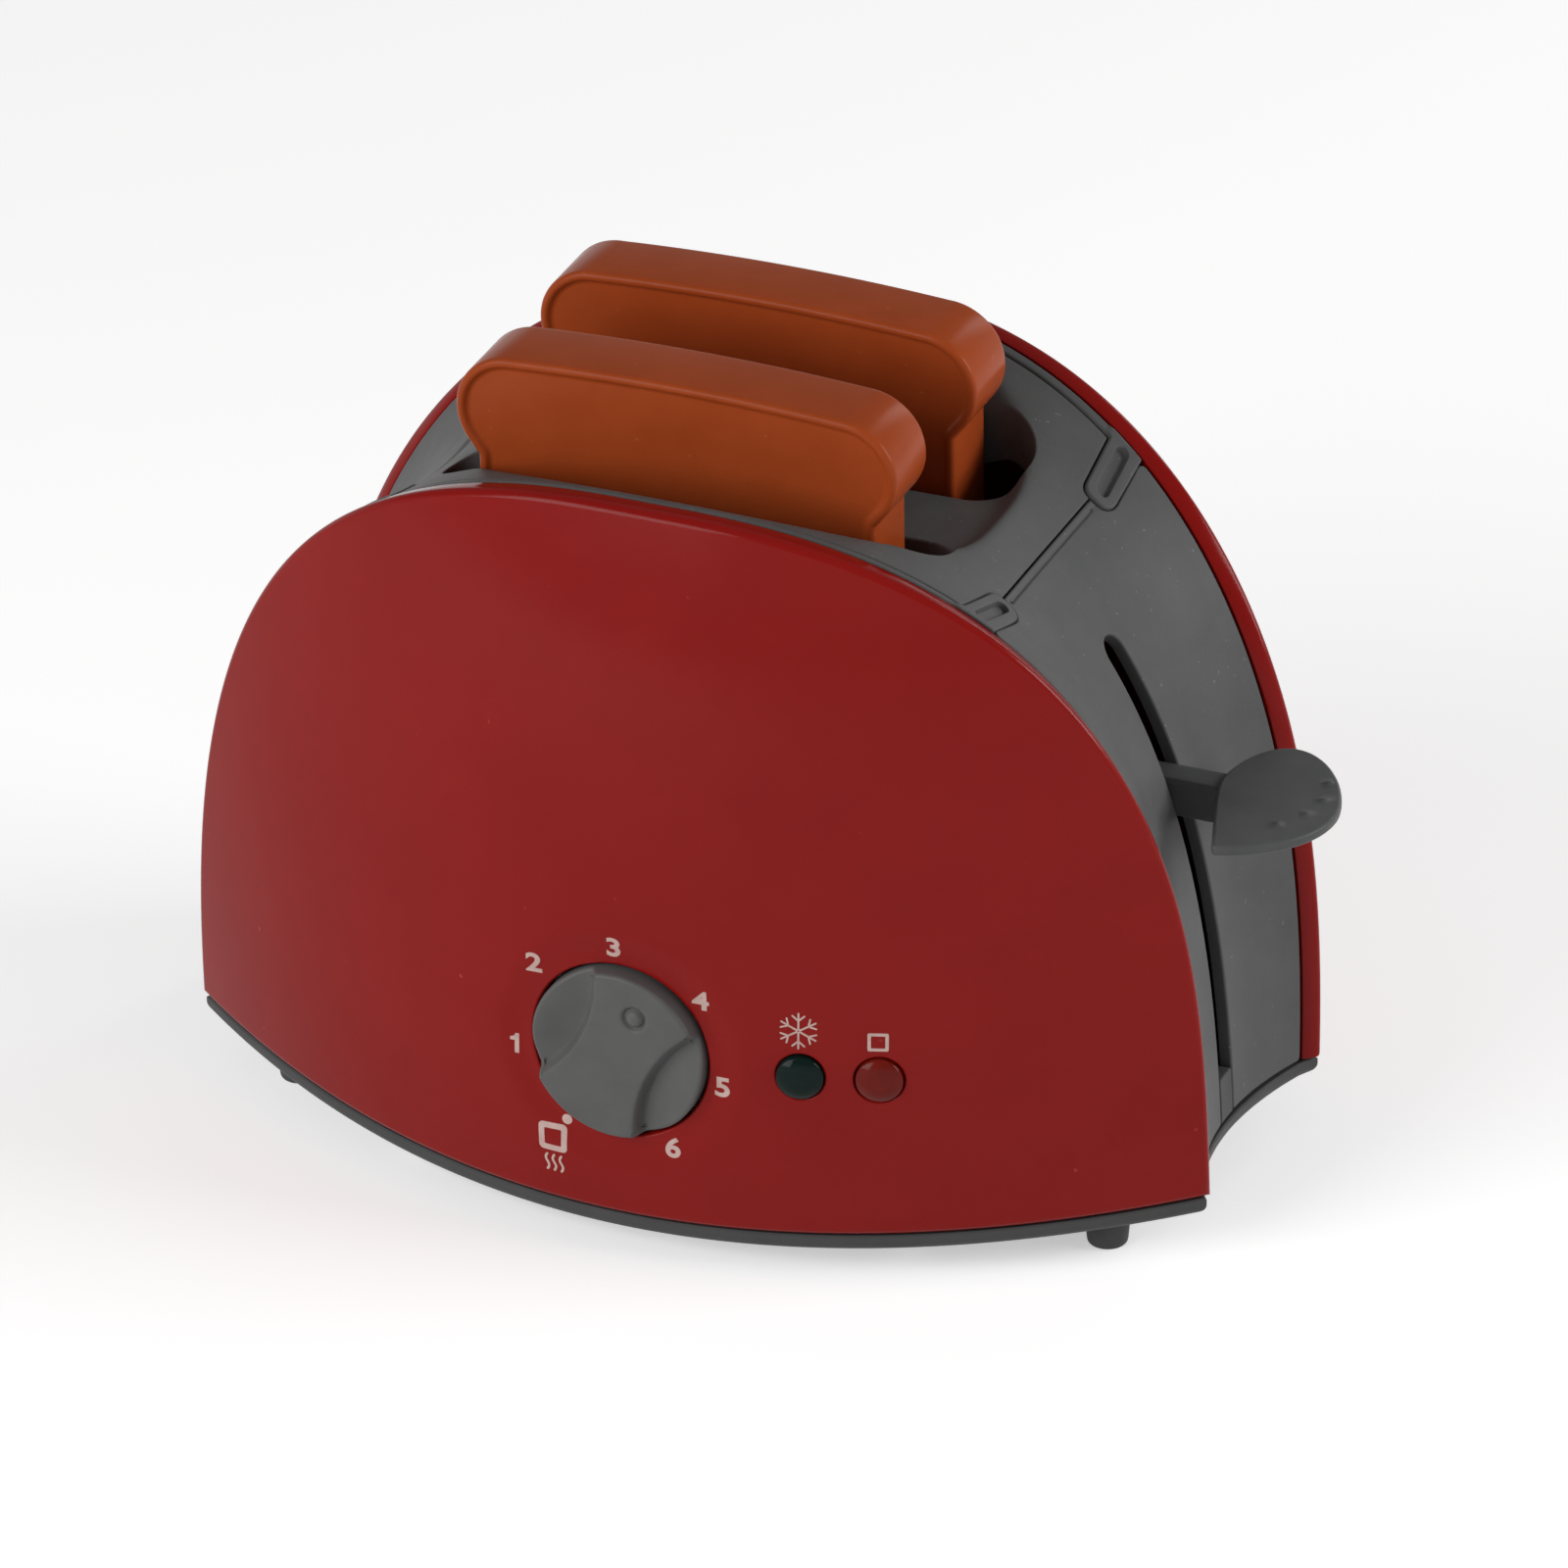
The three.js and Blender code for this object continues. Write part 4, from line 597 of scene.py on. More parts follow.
def surface(name, colour, second, roughness, rough_change, grain, bump, mottle, specular=0.5, metallic=0.0,
            subsurface=0.0, spots=None):
    """A moulded surface: mottled colour, uneven polish, a fine grain and perhaps specks."""
    look, tree, shader = new_material(name)
    place = add_node(tree, "TexCoord").outputs["Object"]

    def noise(size, detail, rough=0.5):
        return add_node(tree, "TexNoise", {
            "Scale": 1 / (size * MM), "Detail": detail, "Roughness": rough, "Vector": place}).outputs["Fac"]

    ramp = add_node(tree, "ValToRGB", {"Fac": noise(mottle, 5, 0.6)})
    for stop, position, tint in zip(ramp.color_ramp.elements, (0.3, 0.7), (colour, second)):
        stop.position = position
        stop.color = (*tint, 1)
    shade = ramp.outputs["Color"]
    if spots:
        size, cover, tint = spots
        speck = add_node(tree, "MapRange", {
            "Value": noise(size, 1), "From Min": cover, "From Max": cover + SPECK_EDGE})
        shade = add_node(tree, "Mix", {
            "Factor": speck.outputs["Result"], 6: shade, 7: (*tint, 1)}, data_type="RGBA").outputs[2]
    polish = add_node(tree, "MapRange", {
        "Value": noise(mottle / 3, 3),
        "To Min": roughness - rough_change, "To Max": roughness + rough_change})
    relief = add_node(tree, "Bump", {
        "Height": noise(grain, 3, 0.55), "Strength": bump, "Distance": grain * MM / 4})
    set_inputs(tree, shader, {
        "Base Color": shade, "Roughness": polish.outputs["Result"], "Normal": relief.outputs["Normal"],
        "Specular IOR Level": specular, "Metallic": metallic, "Subsurface Weight": subsurface})
    return look


RED = surface(
    "red_gloss_plastic", (0.228, 0.0052, 0.0040), (0.25, 0.0072, 0.0054), 0.16, 0.03, 1.6, 0.04, 26,
    specular=0.13, spots=(3.2, 0.80, (0.36, 0.05, 0.04)))
GREY = surface(
    "grey_moulded_plastic", (0.086, 0.0865, 0.0865), (0.104, 0.1045, 0.1045), 0.47, 0.06, 0.34, 0.35, 14,
    specular=0.13, spots=(0.9, 0.74, (0.16, 0.162, 0.165)))
# Painted shade: the base tray's grey is the same grey plastic made darker, so that its lit front band looks
# as dim as a shaded one
SHADED_TRAY_GREY = surface(
    "grey_plastic_with_painted_shade", (0.062, 0.063, 0.063), (0.076, 0.077, 0.077), 0.5, 0.06, 0.34, 0.35, 14,
    specular=0.13)
LEVER_GREY = surface(
    "grey_lever_plastic", (0.076, 0.0775, 0.0775), (0.092, 0.0935, 0.0935), 0.42, 0.06, 0.3, 0.3, 8,
    specular=0.15)
DIAL_GREY = surface(
    "grey_dial_plastic", (0.096, 0.0965, 0.095), (0.114, 0.1145, 0.113), 0.4, 0.05, 0.3, 0.25, 9,
    specular=0.16)
DARK = surface("dark_inner_plastic", (0.035, 0.036, 0.038), (0.05, 0.052, 0.054), 0.55, 0.06, 0.5, 0.3, 12)
BROWN = surface(
    "toast_brown_plastic", (0.318, 0.053, 0.0115), (0.354, 0.061, 0.0145), 0.24, 0.04, 0.8, 0.08, 11,
    specular=0.085, spots=(1.6, 0.77, (0.36, 0.09, 0.03)))
GREEN = surface(
    "green_button_plastic", (0.003, 0.011, 0.009), (0.005, 0.016, 0.013), 0.09, 0.02, 0.6, 0.05, 4,
    specular=0.1)
CLEAR_RED = surface(
    "clear_red_plastic", (0.12, 0.006, 0.003), (0.17, 0.01, 0.005), 0.12, 0.02, 0.7, 0.04, 4,
    specular=0.13, subsurface=0.2)
WHITE = surface("white_inner_plastic", (0.6, 0.58, 0.53), (0.68, 0.66, 0.62), 0.5, 0.05, 0.5, 0.2, 10)
STEEL = surface("zinc_steel", (0.42, 0.43, 0.44), (0.55, 0.56, 0.57), 0.34, 0.06, 0.3, 0.2, 3, metallic=1.0)
RUBBER = surface(
    "foot_rubber", (0.052, 0.053, 0.052), (0.07, 0.071, 0.07), 0.72, 0.05, 0.4, 0.4, 4, specular=0.3)
PRINT = surface("pad_print", (0.50, 0.34, 0.30), (0.60, 0.44, 0.40), 0.5, 0.05, 0.3, 0.25, 2, specular=0.3)

NODE_LOOKS = (
    ("screw", STEEL), ("spring", STEEL), ("guide_rod", STEEL), ("shaft", STEEL), ("pin", STEEL),
    ("foot_", RUBBER),
    ("cover", RED), ("toast", BROWN), ("defrost_button", GREEN), ("stop_button", CLEAR_RED), ("timer", WHITE),
    ("latch", WHITE), ("carriage", DARK), ("holder", DARK))
for node_name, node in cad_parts.items():
    chosen = next((look for part, look in NODE_LOOKS if part in node_name), GREY)
    if not node.data.materials:
        node.data.materials.append(chosen)
    for place_in_node in node.material_slots:
        place_in_node.link = "OBJECT"
        place_in_node.material = chosen


# Covers

def clear_of_ends(line):
    """The line without its points close to its two ends, so that an offset doesn't fold at a corner."""
    far = np.minimum(norm(line - line[0], axis=1), norm(line - line[-1], axis=1))
    return np.vstack([line[:1], line[far > CORNER_ROOM], line[-1:]])


def cover_loop(step):
    over = clear_of_ends(at(*arch(np.linspace(ARCH_LENGTH, 0, int(ARCH_LENGTH / step)))[:2]))
    x = np.linspace(-HALF_LENGTH, HALF_LENGTH, int(COVER_LENGTH / step))
    return np.vstack([over, clear_of_ends(at(x, edge_height(x)))[1:-1]])


def cover_place(side):
    """Places on a cover; the front one has a shallow dish around the dial."""
    def place(x, z, depth):
        back, out = rim_shift(x)
        reach = np.hypot(x - DIAL_X, z - DIAL_Z)
        dish = RING_DEPTH * (1 - ease(RING_INNER, RING_OUTER, reach)) if side < 0 else 0
        return at(x - depth * back, side * (face_depth(x, z) - dish - depth * out), z)
    return place


button_tilt = asin(BUTTON_ROW_X / FACE_PLAN_RADIUS)
BUTTON_PLACE = move(BUTTON_ROW_X, -face_depth(BUTTON_ROW_X, DIAL_Z), DIAL_Z) @ Matrix.Rotation(
    button_tilt, 4, "Z")
BUTTON_SPOTS = (-BUTTON_PITCH / 2, BUTTON_PITCH / 2)


def button_hole(local_x):
    """A round hole square to the button row, as it lies on the curved face."""
    ring = circle(0, 0, BUTTON_RADIUS + BUTTON_FIT, 48)
    return at(BUTTON_ROW_X + (local_x + ring[:, 0]) * cos(button_tilt), DIAL_Z + ring[:, 1])


RIM_PROFILE = fillet(RIM_FILLET, 6) + [
    (0, RIM_RETURN - FOOT_FILLET), (FOOT_FILLET * 0.3, RIM_RETURN - FOOT_FILLET * 0.3),
    (FOOT_FILLET, RIM_RETURN), (COVER_WALL, RIM_RETURN), (COVER_WALL, COVER_WALL)]
HOLE_PROFILE = fillet(0.45, 4) + [(0, COVER_WALL)]

for row_name, side in ROWS:
    rims, around = [(cover_loop(1.3), RIM_PROFILE, None)], []
    if side < 0:
        holes = [circle(DIAL_X, DIAL_Z, DIAL_RADIUS + DIAL_FIT, 120)] + [button_hole(x) for x in BUTTON_SPOTS]
        rims += [(hole, HOLE_PROFILE, None) for hole in holes]
        around = [circle(DIAL_X, DIAL_Z, mix(RING_INNER, RING_OUTER, k / 4), 100, False) for k in range(5)]
    cover = Solid().panel(rims, cover_place(side), 2.0, 5.0, around)
    finished(row_name + "_cover_shell", cover, RED, [row_name + "_cover"])

# Slot deck


def deck_half(s):
    return body_half(s) - RAIL_WIDTH - SEAM_GAP


def bowl_height(x, y):
    p = BOWL_EXPONENT
    near = (np.abs(x / (BOWL_HALF_LENGTH - 1)) ** p + np.abs(y / (BOWL_HALF_WIDTH - 1)) ** p) ** (1 / p)
    far = (np.abs(x / BOWL_TOP_HALF_LENGTH) ** p + np.abs(y / BOWL_TOP_HALF_WIDTH) ** p) ** (1 / p)
    share = (near - 1) / np.maximum(near - far, 1e-6)
    risen = (share + np.sqrt(share * share + BOWL_FLOOR_BLEND ** 2)) / 2
    return BOWL_FLOOR + (BOWL_TOP - BOWL_FLOOR) * risen


def deck_surface(s, y):
    point = body_point(s, y, 0)
    skin = point[:, 2]
    dish = bowl_height(point[:, 0], y)
    gap = skin - dish
    point[:, 2] = (skin + dish - np.sqrt(gap * gap + BOWL_CREASE ** 2)) / 2
    return point


def deck_place(s, y, depth):
    _, _, nx, nz = arch(s)
    return deck_surface(s, y) - at(nx, 0, nz) * depth


def slot_place(s, y, depth):
    return deck_surface(s, y) - np.array([0, 0, 1]) * depth


def on_deck(x, y):
    """The arch length at which the deck's skin has this x."""
    s = np.interp(x, ARCH_X, ARCH_S)
    for _ in range(SOLVE_ROUNDS):
        _, _, _, nz = arch(s)
        s = s + (x - body_point(s, y, 0)[:, 0]) / np.maximum(nz, LEAST_SLOPE)
    return s


def slot_loop(middle_y):
    radius = SLOT_WIDTH / 2
    straight = SLOT_HALF_LENGTH - radius
    turn = np.linspace(0, pi, int(pi * radius))
    right = at(SLOT_SHIFT + straight + radius * np.sin(turn), middle_y + radius * np.cos(turn))
    left = at(SLOT_SHIFT - straight - radius * np.sin(turn), middle_y - radius * np.cos(turn))
    x, y = resample(np.vstack([right, left]), 1.0).T
    return at(on_deck(x, y), y)


seam_half = body_half(SEAM_RIGHT)
tab_end = seam_half - TAB_LENGTH
notch_half = TAB_HALF + SEAM_GAP
notch_reach = tab_end - SEAM_GAP
notch_corner = TAB_CORNER + SEAM_GAP


def lean(reach):
    """Shift of a tab's middle line along the arch, towards the foot, at a distance from the middle plane."""
    return TAB_LEAN * (np.clip((seam_half - reach) / TAB_LENGTH, 0, 1) - 0.5)


def long_edge(s0, s1, half, side):
    s = np.linspace(s0, s1, max(2, int(abs(s1 - s0) / 1.3)))
    return [(a, side * b, 0) for a, b in zip(s, half(s))]


def notch_path(root, rim, end, seam):
    """From the rim along a tab's notch to its crossing with the seam."""
    loop = rounded(
        [(root, rim, 0), (end, notch_reach, notch_corner), (mix(end, seam, 4), notch_reach, 0)], 0.9)
    stop = int(np.argmax((loop[:, 0] - seam) * (seam - root) >= 0))
    a, b = loop[stop - 1], loop[stop]
    corner = a + (b - a) * (seam - a[0]) / (b[0] - a[0])
    path = [p for p in loop[1:stop] if norm(p - corner) > 0.7]
    return [(*p, 0) for p in path] + [(*corner, 0)]


def turned(path, mirror):
    """A path on the other side of the middle plane, run backwards if mirrored."""
    return [(s, y * mirror, 0) for s, y, _ in (path if mirror < 0 else path[::-1])]


def deck_loop():
    """The deck's outline, with a notch around each tab and the seams between the notches."""
    root, end = lean(deck_half(SEAM_RIGHT)), lean(notch_reach)
    left, right = SEAM_LEFT + notch_half - root, SEAM_RIGHT - notch_half + root
    near = notch_path(right, deck_half(right), SEAM_RIGHT - notch_half + end, SEAM_RIGHT - SEAM_GAP / 2)
    far = notch_path(left, deck_half(left), SEAM_LEFT + notch_half - end, SEAM_LEFT + SEAM_GAP / 2)
    corners = long_edge(left, right, deck_half, -1) + turned(near, -1) + turned(near, 1)
    corners += long_edge(right, left, deck_half, 1) + turned(far[::-1], 1) + turned(far[::-1], -1)
    return rounded(corners, 1.2)


SHEET_PROFILE = fillet(EDGE_FILLET, 4) + [(0, SKIN_WALL)]
SLOT_PROFILE = fillet(SLOT_FILLET, 6) + [(0, SLOT_COLLAR), (1.4, SLOT_COLLAR), (1.6, SKIN_WALL)]

deck = Solid().panel(
    [(deck_loop(), SHEET_PROFILE, None)]
    + [(slot_loop(y), SLOT_PROFILE, slot_place) for y in (-SLOT_PITCH / 2, SLOT_PITCH / 2)],
    deck_place, 1.1, 4.0)
finished("slot_deck_moulding", deck, GREY, ["slot_deck"])

# End walls, laid out on the right; the left one is mirrored


def at_height(z, y):
    """The arch length on the right at which the skin has this height."""
    s = np.interp(-z, -ARCH_Z[ARCH_STEPS // 2:], ARCH_S[ARCH_STEPS // 2:])
    for _ in range(SOLVE_ROUNDS):
        _, _, nx, _ = arch(s)
        s = s + (body_point(s, y, 0)[:, 2] - z) / np.maximum(nx, LEAST_SLOPE)
    return s


def wall_half(s):
    return body_half(s) - FIT


def wall_loop(slot):
    """The wall's outline with a notch around each tab, and the open lever slot if it has one."""
    seam, notch, foot = SEAM_RIGHT + SEAM_GAP / 2, SEAM_RIGHT + notch_half, ARCH_LENGTH
    rim, end = notch + lean(wall_half(SEAM_RIGHT)), notch + lean(notch_reach)
    corners = [(rim, -wall_half(rim), 1.0)] + long_edge(rim + 3, foot, wall_half, -1)[:-1]
    corners += [(foot, -wall_half(foot), 0.8)]
    if slot:
        half = LEVER_SLOT_WIDTH / 2
        turn = np.linspace(0, pi, 16)
        y = -half * np.cos(turn)
        top = at_height(LEVER_SLOT_TOP - half + half * np.sin(turn), y)
        corners += [(foot, -half, 0.7)] + [(a, b, 0) for a, b in zip(top, y)] + [(foot, half, 0.7)]
    corners += [(foot, wall_half(foot), 0.8)] + long_edge(foot, rim + 3, wall_half, 1)[1:]
    corners += [(rim, wall_half(rim), 1.0), (end, notch_reach, notch_corner), (seam, notch_reach, 0.5)]
    corners += [(seam, -notch_reach, 0.5), (end, -notch_reach, notch_corner)]
    return rounded(corners, 1.2)


def wall_place(mirror):
    def place(s, y, depth):
        along = s - SEAM_RIGHT - RIB_WIDTH
        within = 1 - ease(notch_reach - 1.5, notch_reach, np.abs(y))
        groove = GROOVE_DEPTH * np.exp(-(along / GROOVE_WIDTH) ** 2) * within
        return body_point(s, y, depth + groove) * np.array([mirror, 1, 1])
    return place


def groove_loop(reach):
    """A narrow outline around the groove that sets off the rib beside the seam."""
    middle, end = SEAM_RIGHT + RIB_WIDTH, notch_reach - 1.7 + reach / 2
    return rounded([(middle + a * reach, b * end, 0) for a, b in SQUARE], 1.2)


grooves = [groove_loop(reach * GROOVE_WIDTH) for reach in (0.25, 0.8, 1.35, 2.0)]
for end_name, mirror in ENDS:
    wall = Solid().panel(
        [(wall_loop(mirror > 0), SHEET_PROFILE, None)], wall_place(mirror), 2.0, 5.0, grooves)
    finished(end_name + "_end_panel", wall, GREY, [end_name + "_end_wall"])

# Frames: rail with two clip tabs, and the band under the cover's rim


def frame_outer(s):
    return body_half(s) - FIT * 0.8


def frame_inner(s):
    return body_half(s) - RAIL_WIDTH


def frame_loop(side):
    root, end = lean(frame_inner(SEAM_RIGHT)), lean(tab_end)
    near, far = SEAM_RIGHT - TAB_HALF, SEAM_RIGHT + TAB_HALF
    left_near, left_far = SEAM_LEFT + TAB_HALF, SEAM_LEFT - TAB_HALF
    corners = [(left_far - end, tab_end, TAB_CORNER), (left_near - end, tab_end, TAB_CORNER)]
    corners += [(left_near - root, frame_inner(left_near - root), 0.6)]
    corners += long_edge(left_near - root + 1.5, near + root - 1.5, frame_inner, 1)
    corners += [(near + root, frame_inner(near + root), 0.6)]
    corners += [(near + end, tab_end, TAB_CORNER), (far + end, tab_end, TAB_CORNER)]
    corners += long_edge(far + root, left_far - root, frame_outer, 1)
    loop = rounded(corners, 0.8)
    return loop if side > 0 else (loop * np.array([1, -1]))[::-1]


POCKET_STEPS = [POCKET_HALF + k * POCKET_SLOPE / 2 for k in (-1, 0, 1)]


def frame_place(s, y, depth):
    shift = lean(np.abs(y))
    far = np.minimum(np.abs(s - SEAM_LEFT + shift), np.abs(s - SEAM_RIGHT - shift))
    across = np.abs(y) - tab_end
    raised = TAB_RISE * (1 - ease(TAB_HALF, TAB_HALF + 1.2, far))
    middle = POCKET_START + POCKET_LENGTH / 2
    beyond = np.maximum(np.abs(across - middle) - POCKET_LENGTH / 2 + POCKET_HALF, 0)
    sunk = POCKET_DEPTH * (1 - ease(POCKET_STEPS[0], POCKET_STEPS[2], np.hypot(far, beyond)))
    return body_point(s, y, depth - raised + sunk)


def band_section(s, side):
    x, z, nx, nz = arch(s)
    skin_x = x - RIM_RETURN * rim_shift(x)[0] - nx * BAND_DEPTH
    outer = face_depth(skin_x, z - nz * BAND_DEPTH) - COVER_WALL - FIT * 4
    inner = body_half(s) - RAIL_WIDTH
    low = BAND_DEPTH + BAND_WALL
    pairs = [(inner, low), (outer, low), (outer, BAND_DEPTH), (inner, BAND_DEPTH)]
    return [body_point(s, side * y, depth) for y, depth in pairs]


def pocket_loop(seam, outward, side, grown):
    """The outline around a tab's pocket at a distance from its middle line."""
    nearest = tab_end + POCKET_START + POCKET_HALF
    furthest = nearest + POCKET_LENGTH - 2 * POCKET_HALF
    turn = np.linspace(0, pi, 12)
    across = np.hstack([furthest + grown * np.sin(turn), nearest - grown * np.sin(turn)])
    along = np.hstack([grown * np.cos(turn), -grown * np.cos(turn)])
    return resample(at(seam + outward * (lean(across) + along), side * across), 0.8)


for row_name, side in ROWS:
    pockets = [pocket_loop(seam, outward, side, grown)
               for seam, outward in ((SEAM_LEFT, -1), (SEAM_RIGHT, 1)) for grown in POCKET_STEPS]
    rail = Solid().panel(
        [(frame_loop(side), fillet(TAB_FILLET, 4) + [(0, SKIN_WALL)], None)], frame_place, 0.62, 2.0, pockets)
    stations = np.linspace(FIT * 10, ARCH_LENGTH - FIT * 10, 90)
    rail.tube([band_section(s, side) for s in stations])
    finished(row_name + "_rail_and_tabs", rail, GREY, [row_name + "_frame"])

# Base tray, laid out from below


def tray_loop():
    end_half = body_half(ARCH_LENGTH)
    edge_x = ARCH_X[-1] - OVERRUN
    x = np.linspace(edge_x, -edge_x, 150)
    y = np.linspace(end_half, -end_half, 80)
    rear = at(x, face_depth(x, edge_height(x)) - TRAY_INSET)
    left = at(-body_point(np.full(80, ARCH_LENGTH), y, 0)[:, 0], y)
    return np.vstack([clear_of_ends(line) for line in (rear, left, -rear, -left)])


def tray_place(x, y, depth):
    foot = edge_height(x) - TRAY_GAP - TRAY_RIM_HEIGHT
    return at(x, y, foot + depth)


screw_y = face_depth(BASE_SCREW_X, edge_height(BASE_SCREW_X)) - RIM_RETURN - LUG_RADIUS - LUG_GAP
ledge = BASE_HOLE_RADIUS - SINK_RADIUS
counterbore = fillet(0.3, 3) + [(0, SINK_DEPTH), (ledge, SINK_DEPTH), (ledge, TRAY_FLOOR)]
tray_profile = fillet(TRAY_ROUNDING, 6) + [
    (0, TRAY_RIM_HEIGHT - 0.3), (0.3, TRAY_RIM_HEIGHT), (TRAY_WALL, TRAY_RIM_HEIGHT), (TRAY_WALL, TRAY_FLOOR)]
tray = Solid().panel([(tray_loop(), tray_profile, None)] + [
    (circle(x, y, SINK_RADIUS, 32), counterbore, None)
    for x in (-BASE_SCREW_X, BASE_SCREW_X) for y in (-screw_y, screw_y)], tray_place, 3.0, 6.0)
tongue_half = LEVER_SLOT_WIDTH / 2 - FIT
tongue_top = at_height(np.array([LEVER_SLOT_FOOT]), np.zeros(1))[0]
tongue_loop = rounded([
    (tongue_top, -tongue_half, 0.4), (ARCH_LENGTH, -tongue_half, 0.4),
    (ARCH_LENGTH, tongue_half, 0.4), (tongue_top, tongue_half, 0.4)], 0.8)
tray.panel([(tongue_loop, fillet(0.3, 3) + [(0, SKIN_WALL)], None)], body_point, 1.2, 2.0)
# The tray's darker grey is painted shade on the same grey plastic
finished("base_tray_moulding", tray, SHADED_TRAY_GREY, ["base_tray"])


def lathe(profile, count, axis="z"):
    """A closed turned solid from (radius, height) pairs that begin and end on the axis."""
    solid = Solid()
    turn = np.arange(count) * 2 * pi / count

    def spot(r, h):
        flat = at(r * np.cos(turn), r * np.sin(turn), h)
        return flat if axis == "z" else flat[:, [0, 2, 1]]

    first = solid.add(spot(0, profile[0][1])[:1])[0]
    rings = [solid.add(spot(r, h)) for r, h in profile[1:-1]]
    last = solid.add(spot(0, profile[-1][1])[:1])[0]
    for near, far in zip(rings, rings[1:]):
        solid.bridge(near, far)
    for i in range(count):
        j = (i + 1) % count
        solid.faces.append((first, rings[0][j], rings[0][i]))
        solid.faces.append((last, rings[-1][i], rings[-1][j]))
    return solid


def rounded_profile(corners):
    """(radius, height) pairs with each corner (r, h, rounding) rounded."""
    out = []
    for i, (r, h, radius) in enumerate(corners):
        if radius == 0:
            out.append((r, h))
            continue
        here, last, following = (np.array(corners[k][:2], float) for k in (i, i - 1, i + 1))
        before, after, _, reach = corner_reach(last, here, following, radius)
        a, b = here + before * reach, here + after * reach
        for t in (0, 0.25, 0.5, 0.75, 1):
            out.append(tuple((1 - t) ** 2 * a + 2 * t * (1 - t) * here + t * t * b))
    return out


foot_x = HALF_LENGTH - FOOT_END_INSET
foot_top = edge_height(foot_x - FOOT_TOP_RADIUS) - TRAY_GAP - TRAY_RIM_HEIGHT + 1
foot_profile = rounded_profile([
    (0, 0.25, 0), (FOOT_TIP_RADIUS * 0.6, 0, 0.6), (FOOT_TIP_RADIUS, 0, FOOT_ROUNDING),
    (FOOT_TOP_RADIUS, foot_top, 0), (0, foot_top, 0)])
for row_name, y in ROWS:
    for end_name, x in ENDS:
        foot_name = row_name + "_" + end_name
        finished("foot_plug_" + foot_name, lathe(foot_profile, 40), RUBBER, ["foot_" + foot_name],
                 matrix=move(x * foot_x, y * FOOT_REACH_Y, 0))

# Toast slices


def toast_loop():
    lobe_z = TOAST_CROWN - LOBE_RADIUS - LOBE_DROP
    overhang = NECK_REACH - LOBE_REACH
    drop = sqrt(LOBE_RADIUS ** 2 - overhang ** 2)
    turn = np.linspace(atan2(-drop, overhang), pi / 2, 40)
    lobe = at(LOBE_REACH + LOBE_RADIUS * np.cos(turn), lobe_z + LOBE_RADIUS * np.sin(turn))
    across = np.linspace(1, -1, 60)[1:-1]
    bow = (LOBE_DROP + TOAST_CROWN_BOW) * (1 - across ** 2) / 2
    top = at(LOBE_REACH * across, lobe_z + LOBE_RADIUS + bow)
    mirrored = (lobe * np.array([-1, 1]))[::-1]
    neck_z = lobe_z - drop - 0.6
    corners = [(side * NECK_REACH, TOAST_FOOT, TOAST_CORNER) for side in (-1, 1)]
    corners += [(NECK_REACH, neck_z, NECK_FILLET)]
    corners += [(x, z, 0) for x, z in (*lobe[3:], *top, *mirrored[:-3])]
    corners += [(-NECK_REACH, neck_z, NECK_FILLET)]
    return rounded(corners, 0.8) + np.array([TOAST_SHIFT, 0])


def toast_place(middle_y, face_inset=0):
    """Places on a slice; its face can lie further in than the rim around it."""
    def place(x, z, depth):
        return at(x, middle_y - TOAST_THICKNESS / 2 + depth + (face_inset if depth == 0 else 0), z)
    return place


half_bead = [
    (BEAD_WIDTH + 0.9, BEAD_DEPTH), (BEAD_WIDTH + 0.45, BEAD_DEPTH * 0.93),
    (BEAD_WIDTH + 0.15, BEAD_DEPTH * 0.7),
    (BEAD_WIDTH - 0.1, BEAD_DEPTH * 0.35), (BEAD_WIDTH - 0.35, BEAD_DEPTH * 0.1), (BEAD_WIDTH - 0.65, 0),
    (BEAD_WIDTH - 0.95, 0.03), (0.45, 0.14), (0.2, 0.36), (0.05, 0.65), (0, 1.0)]
bead_profile = half_bead + [(0, TOAST_THICKNESS / 2)] + [
    (inset, TOAST_THICKNESS - depth) for inset, depth in reversed(half_bead)]
for row_name, side in ROWS:
    y = side * SLOT_PITCH / 2
    toast = Solid().panel(
        [(toast_loop(), bead_profile, toast_place(y))], toast_place(y, BEAD_DEPTH), 4.0, 8.0)
    finished(
        row_name + "_toast_slice", toast, BROWN, ["toast_" + row_name], row_name + "_slice")

# Lever


def bezier(p0, p1, p2, p3):
    t = np.linspace(0, 1, 24, endpoint=False)[:, None]
    p0, p1, p2, p3 = map(np.array, (p0, p1, p2, p3))
    return (1 - t) ** 3 * p0 + 3 * t * (1 - t) ** 2 * p1 + 3 * t * t * (1 - t) * p2 + t ** 3 * p3


def paddle_loop():
    (tip_x, tip_y), (back_x, back_y) = PADDLE_TIP, PADDLE_BACK
    inner, outer, outer_y = PADDLE_INNER_X, PADDLE_OUTER_X, PADDLE_OUTER_Y
    a = bezier(PADDLE_TIP, (mix(tip_x, outer, 4 / 9), mix(tip_y, outer_y, 0.1)),
               (outer, mix(outer_y, tip_y, 4 / 7)), (outer, outer_y))
    b = bezier((outer, outer_y), (outer, mix(outer_y, back_y, 1 / 3)), (mix(back_x, outer, 0.5), back_y),
               PADDLE_BACK)
    c = bezier(PADDLE_BACK, (mix(back_x, inner, 4 / 7), back_y), (inner, back_y / 2), (inner, 0))
    d = bezier((inner, 0), (inner, tip_y / 5), (mix(inner, tip_x, 2 / 3), tip_y * 2 / 3), PADDLE_TIP)
    outline = np.vstack([a[2:], b, c, d[:-1]])
    return rounded([(*PADDLE_TIP, 0.9)] + [(x, y, 0) for x, y in outline], 0.8)


